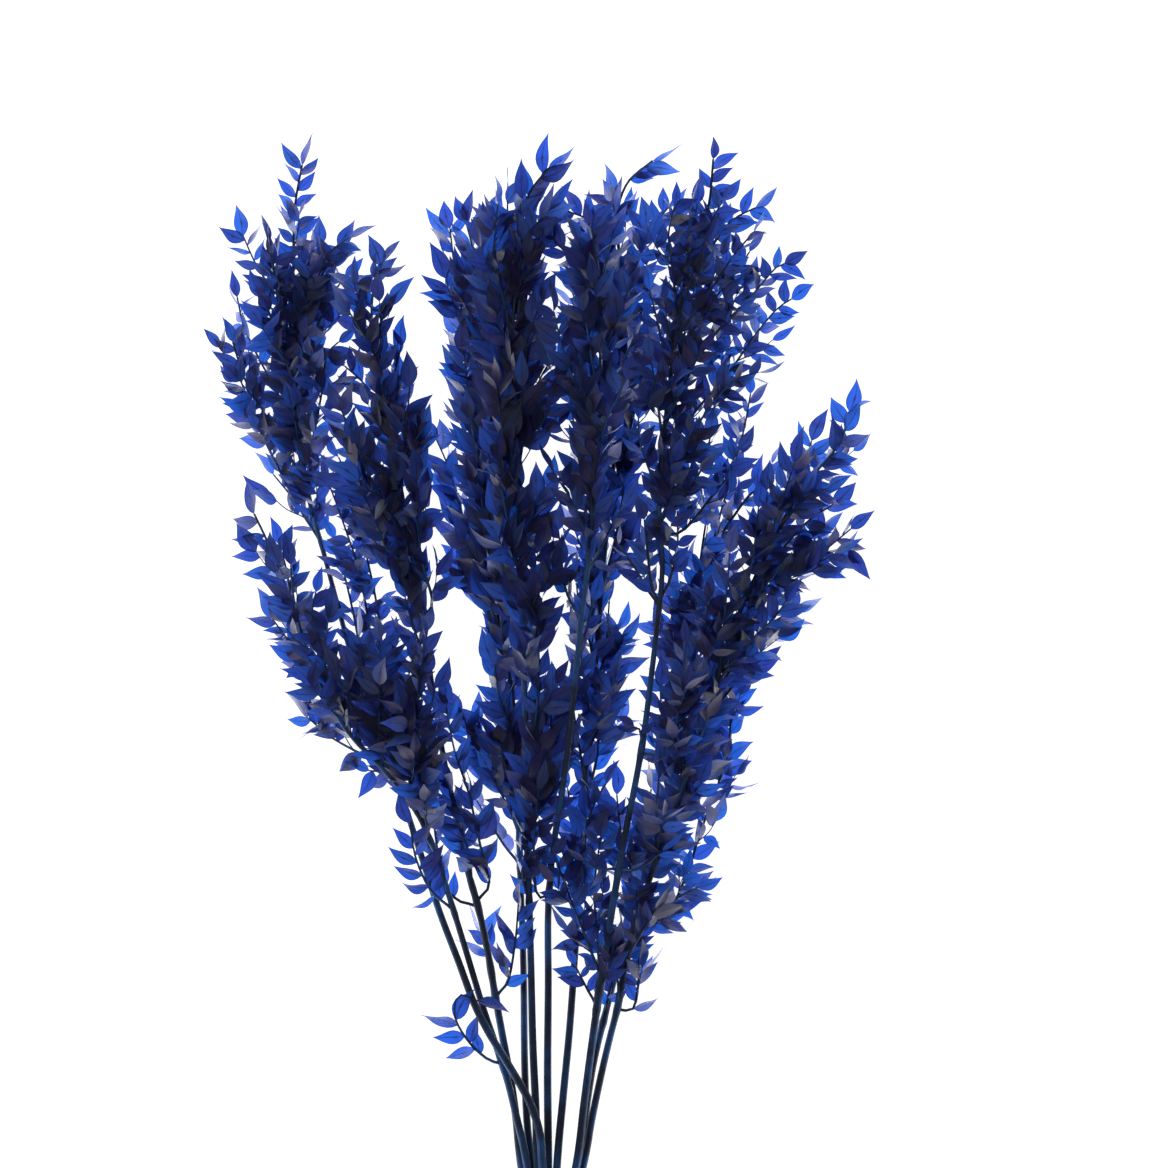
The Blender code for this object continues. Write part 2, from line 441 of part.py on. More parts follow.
def stalk_path(stem, step=None):
    """From the cut end straight through the tie, then along the route."""
    cut, tied, *rest = [in_frame(point) for point in stem["route"]]
    straight = Vector((0.0, TIE_WIDTH * 0.6, 0.0))
    line = smooth_path([tied + straight] + rest, lead=straight * 5)
    return [cut, tied - straight] + (resample(line, step) if step else line)


def twig_path(stalk, coarse, leaves_at, rise, plan):
    """A twig's line: out of the stalk's middle, rising or sinking on its way to the tip."""
    reach = lengths_along(coarse)
    i = next(k for k, point in enumerate(coarse) if point.y > leaves_at - TIE_Y)
    share = (leaves_at - TIE_Y - coarse[i - 1].y) / (coarse[i].y - coarse[i - 1].y)
    start, along = point_at(coarse, reach, reach[i - 1] + (reach[i] - reach[i - 1]) * share)
    points = [start]
    for k, (x, y) in enumerate(plan, 1):
        share = min(1.0, k / max(1, len(plan) - 1))
        near = min(stalk, key=lambda q: abs(q.y + TIE_Y - y))
        height = near.z + rise * share
        points.append(Vector((x, y - TIE_Y, max(height, TABLE + 0.004))))
    first = (points[1] - points[0]).length
    return smooth_path(points, lead=along * first * 0.8)


def leaf_frame(along, turn, angle, twist):
    """Direction and face of a leaf at a turn round its twig."""
    side = along.cross(Vector((0, 0, 1))).normalized()
    up = side.cross(along)
    outward = side * math.cos(turn) + up * math.sin(turn)
    direction = (along * math.cos(angle) + outward * math.sin(angle)).normalized()
    normal = (along - direction * along.dot(direction)).normalized()
    normal = normal * math.cos(twist) + direction.cross(normal) * math.sin(twist)
    return direction, normal.normalized()


def above_table(point, direction, length):
    """The direction, turned up where the leaf would go through the table."""
    lowest = (TABLE + 0.0006 - point.z) / length
    if direction.z >= lowest:
        return direction
    flat = Vector((direction.x, direction.y, 0.0))
    z = max(lowest, -0.95)
    flat = flat.normalized() * math.sqrt(max(0.0, 1 - z * z))
    return Vector((flat.x, flat.y, z))


def place_leaf(name, site, owner, space, size, collection, end, dice):
    """Try turns round the twig until the leaf is clear of all that is there, and keep it."""
    point, along, turn = site
    length = size * dice.uniform(0.88, 1.12)
    width = length * LEAF_WIDTH * dice.uniform(0.9, 1.1)
    bend = dice.uniform(0.0, 0.10)
    for k in range(TRIES):
        angle = dice.uniform(0.02, 0.20) if end else math.radians(dice.uniform(38, 62))
        twist = dice.uniform(-1.2, 1.2)
        direction, normal = leaf_frame(along, turn + k * 0.7, angle, twist)
        direction = above_table(point, direction, length)
        normal = (normal - direction * normal.dot(direction)).normalized()
        root = point - direction * (END_ROOT if end else SIDE_ROOT)
        bigger = blade_mesh("test", root + direction * 0.004, direction, normal,
                            length - 0.004 + CLEAR * 2, width + CLEAR * 2, LEAF_THICK + CLEAR * 2, bend)
        low = min(v.co.z for v in bigger.vertices)
        blocked = low < TABLE - CLEAR or space.hits(bigger, ())
        bpy.data.meshes.remove(bigger)
        if blocked:
            continue
        mesh = blade_mesh(name, root, direction, normal, length, width, LEAF_THICK, bend)
        if space.hits(mesh, (owner,)):
            bpy.data.meshes.remove(mesh)
            continue
        space.add(mesh, owner)
        collection.objects.link(bpy.data.objects.new(name, mesh))
        return


def join_pieces(name, pieces, parts, material):
    """Fuse a stalk, its twigs and its leaves into one closed body."""
    stalk = pieces.objects[name + "_stalk"]
    pieces.objects.unlink(stalk)
    parts.objects.link(stalk)
    stalk.name = name
    union = stalk.modifiers.new("grow_together", "BOOLEAN")
    union.operation = "UNION"
    union.operand_type = "COLLECTION"
    union.collection = pieces
    union.solver = "MANIFOLD"
    for _ in range(12):
        graph = bpy.context.evaluated_depsgraph_get()
        mesh = bpy.data.meshes.new_from_object(stalk.evaluated_get(graph))
        places = doubled_edges(mesh)
        if not places:
            break
        nudge(pieces, places)
    stalk.modifiers.clear()
    stalk.data = mesh
    for obj in list(pieces.objects):
        bpy.data.objects.remove(obj)
    bpy.data.collections.remove(pieces)
    keep_largest(mesh)
    mesh.name = name
    mesh.materials.clear()
    mesh.materials.append(material)
    return stalk


def doubled_edges(mesh):
    """The middles of edges that two thin faces share once the mesh is cut into triangles."""
    bm = bmesh.new()
    bm.from_mesh(mesh)
    bmesh.ops.triangulate(bm, faces=bm.faces)
    middles = [(edge.verts[0].co + edge.verts[1].co) / 2 for edge in bm.edges if len(edge.link_faces) != 2]
    bm.free()
    return middles


def nudge(pieces, places):
    """Shift the leaf or twig nearest each place by a hair, so that no edge runs along another."""
    trees = {obj: tree_of(obj.data) for obj in pieces.objects}
    for number, place in enumerate(places):
        nearest = sorted(trees, key=lambda obj: trees[obj].find_nearest(place)[3])[:3]
        leaf = next((obj for obj in nearest if "_twig" not in obj.name), nearest[0])
        for vert in leaf.data.vertices:
            vert.co += Vector((0.00011, 0.00017 - 0.00003 * number, 0.00013))


def keep_largest(mesh):
    """Drop any scrap that holds on to nothing."""
    bm = bmesh.new()
    bm.from_mesh(mesh)
    left = set(bm.verts)
    groups = []
    while left:
        group, front = set(), [left.pop()]
        while front:
            vert = front.pop()
            group.add(vert)
            for edge in vert.link_edges:
                other = edge.other_vert(vert)
                if other in left:
                    left.discard(other)
                    front.append(other)
        groups.append(group)
    groups.sort(key=len)
    for group in groups[:-1]:
        bmesh.ops.delete(bm, geom=list(group), context="VERTS")
    bmesh.ops.triangulate(bm, faces=bm.faces)
    for vert in bm.verts:
        if vert.co.z < TABLE + TOUCH:
            vert.co.z = TABLE
    bm.to_mesh(mesh)
    bm.free()


def plain_material(name, colour, roughness):
    material = bpy.data.materials.new(name)
    material.use_nodes = True
    shader = material.node_tree.nodes["Principled BSDF"]
    shader.inputs["Base Color"].default_value = (*colour, 1.0)
    shader.inputs["Roughness"].default_value = roughness
    shader.inputs["Metallic"].default_value = 0.0
    return material


def rounded_outline(corners, offset, steps=3):
    """The line at an offset round a convex run of corners."""
    line = []
    for i, corner in enumerate(corners):
        before = (corner - corners[i - 1]).normalized()
        after = (corners[(i + 1) % len(corners)] - corner).normalized()
        first = math.atan2(-before.x, before.y)
        turn = math.atan2(before.x * after.y - before.y * after.x, before.dot(after))
        for k in range(steps + 1):
            angle = first + turn * k / steps
            line.append((corner.x + offset * math.cos(angle), corner.y + offset * math.sin(angle)))
    return line


def make_tie(parts, material):
    """A flat band round the ten stalks, with a flat underside on the table."""
    corners = [Vector(corner) for corner in OUTER_STALKS]
    curve = bpy.data.curves.new("tie", "CURVE")
    curve.dimensions = "2D"
    curve.fill_mode = "BOTH"
    curve.extrude = TIE_WIDTH / 2
    curve.render_resolution_u = 0
    for offset in (WIDEST_STALK + STALK_GAP + TIE_THICK, WIDEST_STALK + STALK_GAP):
        outline = rounded_outline(corners, offset)
        spline = curve.splines.new("POLY")
        spline.points.add(len(outline) - 1)
        for place, point in zip(outline, spline.points):
            point.co = (place[0], place[1], 0.0, 1.0)
        spline.use_cyclic_u = True
    holder = bpy.data.objects.new("tie_outline", curve)
    parts.objects.link(holder)
    mesh = bpy.data.meshes.new_from_object(holder.evaluated_get(bpy.context.evaluated_depsgraph_get()))
    bpy.data.objects.remove(holder)
    bm = bmesh.new()
    bm.from_mesh(mesh)
    bmesh.ops.remove_doubles(bm, verts=bm.verts, dist=1e-6)
    for vert in bm.verts:
        vert.co = Vector((vert.co.x, -vert.co.z, vert.co.y))
    bmesh.ops.recalc_face_normals(bm, faces=bm.faces)
    bm.to_mesh(mesh)
    bm.free()
    mesh.materials.clear()
    mesh.materials.append(material)
    obj = bpy.data.objects.new("tie", mesh)
    parts.objects.link(obj)
    return obj


def grow_stalks(heaps, section, space):
    """The ten stalks. Returns each stem's leafy lines, with where the leaves begin on each."""
    wood = {}
    for name, stem in STEMS.items():
        line = stalk_path(stem, STALK_STEP)
        obj = tube(name + "_stalk", line, stem["radius"], STALK_TIP_RADIUS, section, heaps[name])
        if space.hits(obj.data, ()):
            print("stalk meets another stalk:", name)
        space.add(obj.data, name)
        reach = lengths_along(line)
        leafy = next(d for d, q in zip(reach, line) if q.y > stem["bare"] - TIE_Y)
        wood[name] = [(line, leafy - STALK_STEP / 2)]
    return wood


def grow_twigs(wood, heaps, section, space):
    """Every twig, raised or lowered until it is clear of the other stems."""
    for name, stem in STEMS.items():
        stalk = stalk_path(stem)
        coarse = wood[name][0][0]
        for k, (leaves_at, rise, plan) in enumerate(stem["twigs"]):
            label = f"{name}_twig_{k}"
            for shift in TWIG_SHIFTS:
                line = resample(twig_path(stalk, coarse, leaves_at, rise + shift, plan), TWIG_STEP)
                wide = tube(label, line, TWIG_RADIUS + CLEAR, TWIG_TIP_RADIUS + CLEAR, section, heaps[name])
                blocked = space.hits(wide.data, (name,))
                bpy.data.objects.remove(wide)
                if not blocked:
                    break
            if blocked:
                print("no room for", label)
                continue
            obj = tube(label, line, TWIG_RADIUS, TWIG_TIP_RADIUS, section, heaps[name])
            space.add(obj.data, name)
            wood[name].append((line, LEAF_STEP * 0.6))


def grow_leaves(wood, heaps, space):
    """First the leaf at each tip, then the leaves along the wood, turn after turn."""
    for number, (name, stem) in enumerate(STEMS.items(), 1):
        dice = random.Random(number)
        for k, (line, _) in enumerate(wood[name]):
            along = (line[-1] - line[-2]).normalized()
            site = (line[-1], along, dice.uniform(0, 2 * math.pi))
            place_leaf(f"{name}_end_{k}", site, name, space, stem["leaf"], heaps[name], True, dice)
    for number, (name, stem) in enumerate(STEMS.items(), 1):
        dice = random.Random(100 + number)
        for k, (line, distance) in enumerate(wood[name]):
            reach = lengths_along(line)
            turn = dice.uniform(0, 2 * math.pi)
            while distance < reach[-1] - LEAF_STEP * 0.3:
                site = (*point_at(line, reach, distance), turn)
                place_leaf(f"{name}_leaf_{k}", site, name, space, stem["leaf"], heaps[name], False, dice)
                turn += GOLDEN_TURN + dice.uniform(-0.3, 0.3)
                distance += LEAF_STEP * dice.uniform(0.85, 1.15)


def main():
    clear_scene()
    parts = new_collection(NAME)
    guides = new_collection("guides")
    six = ring("section_of_stalks", 6, guides)
    three = ring("section_of_twigs", 3, guides)
    heaps = {name: new_collection(name + "_pieces") for name in STEMS}
    space = Space()
    wood = grow_stalks(heaps, six, space)
    grow_twigs(wood, heaps, three, space)
    grow_leaves(wood, heaps, space)
    for name in STEMS:
        join_pieces(name, heaps[name], parts, plain_material(name + "_dyed", DYED, 0.60))
    for section in (six, three):
        bpy.data.objects.remove(section)
    bpy.data.collections.remove(guides)
    make_tie(parts, plain_material("tie_rubber", RUBBER, 0.55))


main()
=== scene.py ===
import math
import random

import bmesh
import bpy
import numpy as np
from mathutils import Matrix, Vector


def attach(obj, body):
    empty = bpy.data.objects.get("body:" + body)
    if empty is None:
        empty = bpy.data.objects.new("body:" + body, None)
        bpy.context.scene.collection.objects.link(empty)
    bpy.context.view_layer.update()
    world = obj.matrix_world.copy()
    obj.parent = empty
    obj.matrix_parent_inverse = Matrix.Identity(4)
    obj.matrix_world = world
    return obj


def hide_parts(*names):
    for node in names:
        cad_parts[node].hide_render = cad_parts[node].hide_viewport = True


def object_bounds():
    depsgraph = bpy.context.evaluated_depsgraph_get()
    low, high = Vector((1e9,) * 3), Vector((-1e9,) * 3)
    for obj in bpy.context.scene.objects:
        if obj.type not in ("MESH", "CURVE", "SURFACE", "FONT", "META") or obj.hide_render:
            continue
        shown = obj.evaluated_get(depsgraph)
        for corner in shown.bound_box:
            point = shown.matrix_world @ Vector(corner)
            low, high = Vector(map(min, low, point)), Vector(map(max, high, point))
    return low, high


# Looks of a bunch of dyed dried ruscus stems that lies on a pale lit surface.
# Metres, +Z up. X runs across the fan, Y towards the tips. The origin is under the tie.

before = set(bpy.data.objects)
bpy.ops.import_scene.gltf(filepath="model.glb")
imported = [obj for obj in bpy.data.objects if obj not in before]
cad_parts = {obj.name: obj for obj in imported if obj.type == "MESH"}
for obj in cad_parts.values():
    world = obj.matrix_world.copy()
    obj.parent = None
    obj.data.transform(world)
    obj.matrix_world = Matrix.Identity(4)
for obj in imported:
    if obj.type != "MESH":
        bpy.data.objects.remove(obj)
CAD_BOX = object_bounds()

TIE_Y = 0.050            # from the cut ends to the middle of the tie
TIE_WIDTH = 0.014
TABLE = 0.0

# Wood: radii, steps along it and sides round it, for stalks, twigs and short side twigs.
STALK_TIP_RADIUS = 0.0007
STALK_STEP = 0.005
STALK_SIDES = 12
TWIG_RADIUS = 0.0011
TWIG_TIP_RADIUS = 0.00055
TWIG_STEP = 0.006
TWIG_SIDES = 6
SHORT_RADIUS = 0.00052
SHORT_TIP_RADIUS = 0.00032
SHORT_SIDES = 5
LOWEST_TWIG = 0.004      # a twig's middle line stays this high over the table

# A stalk is a little thicker where a twig leaves it, and all along once it is free of the tie.
KNOT_SWELL = 0.22
KNOT_REACH = 0.0035
FREE_SWELL = 0.08
FREE_FROM = 0.08         # from the cut end
FREE_OVER = 0.05         # and fully this much further on

# Short side twigs stand round the leafy wood.
SHORT_STEP = 0.017       # from one to the next
UNEVEN_STEP = (0.7, 1.3)
UNEVEN_TURN = 0.4
SHORT_SPAN = (0.018, 0.036)
SHORT_HALVES = ((0.85, 0.53), (0.96, 0.28))  # ahead and away from the wood, foot and tip
SHORT_FIRST = 0.020      # from the start of a twig
SHORT_FIRST_STALK = 0.008
SHORT_LAST = 0.040       # from the tip
BOX_MARGIN = 0.012       # they end this far inside the box
GOLDEN_TURN = math.radians(137.5)

# Leaves sit left and right in turn. Spreads are those of a normal draw, in radians.
LEAF_STEP = 0.0048       # along a twig, from one leaf to the next
UNEVEN_LEAF_STEP = (0.75, 1.25)
FIRST_LEAF = 0.012       # from the start of a twig
FIRST_SHORT_LEAF = 0.006
PLANE_SPREAD = 0.45      # how far the plane of a twig's leaves is off the level
TURN_SPREAD = 0.28       # and how far each leaf is off that plane
TWIST_SPREAD = 0.50      # about the leaf's own length
LEAN_SPREAD = 8          # degrees, of the angle between leaf and twig
TIP_LEAN = (0.0, 0.25)   # the same angle for the leaf at a tip, in radians
ANY_TURN = (0, 6.28)

# One leaf. LEAF_LENGTHS are shares of its stem's leaf length, all others of its own size.
LEAF_LENGTHS = (0.76, 1.14)
LEAF_WIDTH = 0.41
LEAF_WIDTHS = (0.82, 1.15)
LEAF_SHOULDER = 0.70     # below one, the leaf is widest before its middle
LEAF_POINT = 1.25        # above one, its tip is drawn out
LEAF_FOOT = 0.035        # half its width at the foot
FOLDS = (-0.10, 0.38)
BENDS = (-0.10, 0.26)
MOST_TWIST = 0.9
MOST_RIPPLE = 0.018
RIPPLES = (7, 11)
MOST_SWAY = 0.09
ROWS = 9                 # cells of one leaf along its length
COLUMNS = 4              # and across it

# A leaf that would leave the box or reach an opening is turned on and tried again.
TRIES = 4
NEXT_TURN = 1.1
PAST_BOX = 0.002
LEAF_LIFT = 0.0003       # the lowest leaves lie this far over the table

# Twigs that leave a stalk below these heights carry no short side twigs.
LOOSE_BELOW = {"stem_1": 0.450, "stem_2": 0.300, "stem_3": 0.300, "stem_6": 0.300, "stem_8": 0.230}
# Those that leave it below these heights carry only this share of their leaves, all others MOST.
FEW_LEAVES = {"stem_2": (0.200, 0.28), "stem_3": (0.240, 0.62), "stem_10": (0.230, 0.50)}
MOST = 0.86

# Degrees between a leaf and its twig, and stems whose leaves are longer than their leaf length.
LEAF_ANGLE = 50
UPRIGHT = {"stem_3": 40, "stem_4": 37, "stem_5": 37, "stem_6": 42, "stem_7": 43}
LONG_LEAVES = {"stem_4": 1.05, "stem_5": 1.05}

# Fine twigs that fill the sprays out, written as the twigs of the stems below.
FINE_TWIGS = {
    "stem_1": [
        (0.420, 0.010, [(-0.111, 0.450), (-0.114, 0.490), (-0.122, 0.530), (-0.132, 0.566)]),
        (0.430, 0.004, [(-0.127, 0.470), (-0.134, 0.505), (-0.143, 0.540)]),
        (0.566, -0.010, [(-0.182, 0.610), (-0.203, 0.645), (-0.212, 0.672)]),
        (0.640, 0.006, [(-0.158, 0.675), (-0.146, 0.700), (-0.136, 0.716)]),
        (0.665, 0.010, [(-0.161, 0.700), (-0.149, 0.720), (-0.141, 0.736)]),
    ],
    "stem_2": [
        (0.290, 0.006, [(-0.078, 0.304), (-0.088, 0.326), (-0.092, 0.350)]),
        (0.372, -0.010, [(-0.106, 0.383), (-0.119, 0.385)]),
        (0.386, 0.018, [(-0.112, 0.418), (-0.110, 0.448), (-0.112, 0.472)]),
        (0.400, 0.006, [(-0.127, 0.424), (-0.129, 0.450), (-0.125, 0.474)]),
        (0.440, -0.016, [(-0.166, 0.462), (-0.184, 0.486)]),
    ],
    "stem_3": [
        (0.305, 0.004, [(-0.053, 0.330), (-0.062, 0.352), (-0.066, 0.372)]),
        (0.452, 0.006, [(-0.088, 0.476), (-0.095, 0.500)]),
        (0.470, 0.010, [(-0.092, 0.500), (-0.106, 0.530), (-0.119, 0.560), (-0.129, 0.588)]),
    ],
    "stem_4": [
        (0.350, -0.004, [(-0.035, 0.382), (-0.050, 0.402), (-0.058, 0.424)]),
        (0.465, 0.006, [(-0.042, 0.500), (-0.050, 0.530), (-0.054, 0.556)]),
    ],
    "stem_5": [
        (0.290, 0.004, [(-0.017, 0.314), (-0.014, 0.338)]),
        (0.330, 0.004, [(-0.010, 0.360), (-0.006, 0.390), (-0.006, 0.410)]),
        (0.345, -0.006, [(-0.006, 0.372), (0.001, 0.400), (0.002, 0.422)]),
        (0.450, 0.006, [(-0.008, 0.474), (-0.004, 0.500)]),
    ],
    "stem_6": [
        (0.452, -0.018, [(0.024, 0.474), (0.030, 0.498)]),
    ],
    "stem_7": [
        (0.445, 0.006, [(0.028, 0.470), (0.021, 0.492), (0.019, 0.510)]),
    ],
    "stem_8": [
        (0.222, -0.004, [(0.026, 0.238), (0.018, 0.254)]),
        (0.232, 0.004, [(0.040, 0.250), (0.044, 0.268)]),
        (0.490, 0.004, [(0.069, 0.508), (0.066, 0.530), (0.064, 0.552)]),
        (0.495, -0.004, [(0.081, 0.512), (0.086, 0.534), (0.086, 0.558)]),
        (0.548, 0.006, [(0.090, 0.566), (0.103, 0.588), (0.108, 0.608)]),
        (0.560, -0.006, [(0.092, 0.580), (0.098, 0.600)]),
        (0.650, 0.004, [(0.104, 0.690), (0.122, 0.712), (0.134, 0.730)]),
        (0.715, 0.004, [(0.106, 0.745), (0.116, 0.764)]),
    ],
    "stem_9": [
        (0.212, 0.004, [(0.041, 0.234), (0.047, 0.256)]),
        (0.295, 0.008, [(0.052, 0.322), (0.048, 0.348), (0.046, 0.368)]),
    ],
    "stem_10": [
        (0.222, 0.004, [(0.047, 0.238), (0.045, 0.258)]),
        (0.232, -0.006, [(0.050, 0.250), (0.054, 0.272)]),
        (0.262, 0.000, [(0.070, 0.285), (0.088, 0.300), (0.100, 0.306)]),
        (0.440, 0.004, [(0.132, 0.468), (0.150, 0.486), (0.160, 0.500)]),
        (0.500, -0.016, [(0.170, 0.522), (0.190, 0.531), (0.207, 0.533)]),
    ],
}

# Places between the sprays that few leaves reach: x from and to, y from and to, y from the cut end.
OPENINGS = [
    (0.029, 0.060, 0.766, 0.830),
    (-0.020, 0.009, 0.788, 0.830),
    (-0.046, -0.022, 0.765, 0.800),
    (-0.102, -0.072, 0.632, 0.694),
    (-0.150, -0.132, 0.665, 0.692),
    (-0.206, -0.178, 0.552, 0.604),
    (-0.184, -0.152, 0.505, 0.554),
    (-0.020, 0.008, 0.580, 0.604),
    (-0.125, -0.100, 0.500, 0.524),
    (-0.098, -0.074, 0.560, 0.576),
    (0.034, 0.061, 0.525, 0.552),
    (0.034, 0.060, 0.365, 0.392),
    (0.114, 0.142, 0.338, 0.366),
    (-0.076, -0.046, 0.440, 0.508),
    (-0.152, -0.126, 0.742, 0.768),
    (0.168, 0.194, 0.498, 0.516),
    (-0.152, -0.126, 0.392, 0.410),
    (-0.046, -0.020, 0.298, 0.325),
    (0.020, 0.034, 0.748, 0.762),
    (0.056, 0.078, 0.610, 0.628),
    (0.090, 0.112, 0.528, 0.552),
    (0.142, 0.160, 0.452, 0.472),
    (0.036, 0.052, 0.492, 0.512),
    (0.172, 0.186, 0.606, 0.632),
    (-0.070, -0.058, 0.376, 0.386),
]
OPEN_SHARE = 0.15        # of the leaves that would reach an opening, those that still may
OPEN_TESTS = (0.8, 0.4)  # the places along a leaf that are looked at

# Colours. A pair is the two ends of a blend.
GLOW_BLUES = ((0.0062, 0.022, 0.156, 1.0), (0.003, 0.036, 0.198, 1.0))
GLOW_DARK = (0.0036, 0.0042, 0.033, 1.0)
SLATES = ((0.011, 0.013, 0.034, 1.0), (0.033, 0.038, 0.066, 1.0))
VIOLET = (0.022, 0.014, 0.060, 1.0)
FADED = (0.110, 0.115, 0.175, 1.0)
LEAF_MARKS = (0.012, 0.012, 0.034, 1.0)
WOOD_DARKS = ((0.020, 0.027, 0.052, 1.0), (0.040, 0.055, 0.100, 1.0))
WOOD_BLUES = ((0.026, 0.066, 0.185, 1.0), (0.052, 0.145, 0.370, 1.0))
# the painted shade on the undersides of the stalks
WOOD_PAINTED_SHADE = (0.004, 0.005, 0.011, 1.0)
BAND_TANS = ((0.36, 0.20, 0.085, 1.0), (0.48, 0.29, 0.13, 1.0))
FLOOR_COLOUR = (0.85, 0.85, 0.86, 1.0)
WHITE = (1.0, 1.0, 1.0, 1.0)

# The band goes round the middles of the six outer stalks, given as x and z.
BAND_CORNERS = ((-0.0062, 0.0048), (0.0062, 0.0048), (0.0093, 0.0102),
                (0.0062, 0.0155), (-0.0062, 0.0155), (-0.0093, 0.0102))
BAND_OFFSET = 0.0040
BAND_TURNS = (-0.0056, -0.0028, 0.0, 0.0028, 0.0056)
BAND_RADIUS = 0.00078
BAND_SIDES = 8
BAND_WAVE = 0.0002       # each turn wanders this far off its place
BAND_WAVES = 900

CAMERA_PLACE = (0.0240, 0.4593, 6.0)
CAMERA_SENSOR = 36.0     # millimetres
CAMERA_FAR = 50.0
VIEW_WIDTH = 0.7787
VIEW_HEIGHT_Z = 0.060    # the height at which the view has that width

FLOOR_HALF = 3.0
FLOOR_PLACE = (0.0, 0.45, -0.0004)
FLOOR_GLOW = 5.2         # the light it gives; it looks plain white all the same
SKY_GLOW = 0.16
LAMP_POWER = 7.0
LAMP_SIZE = 0.9
LAMP_PLACE = (-0.7, 0.9, 1.6)
LAMP_AIM = (0.0, 0.45, 0.05)

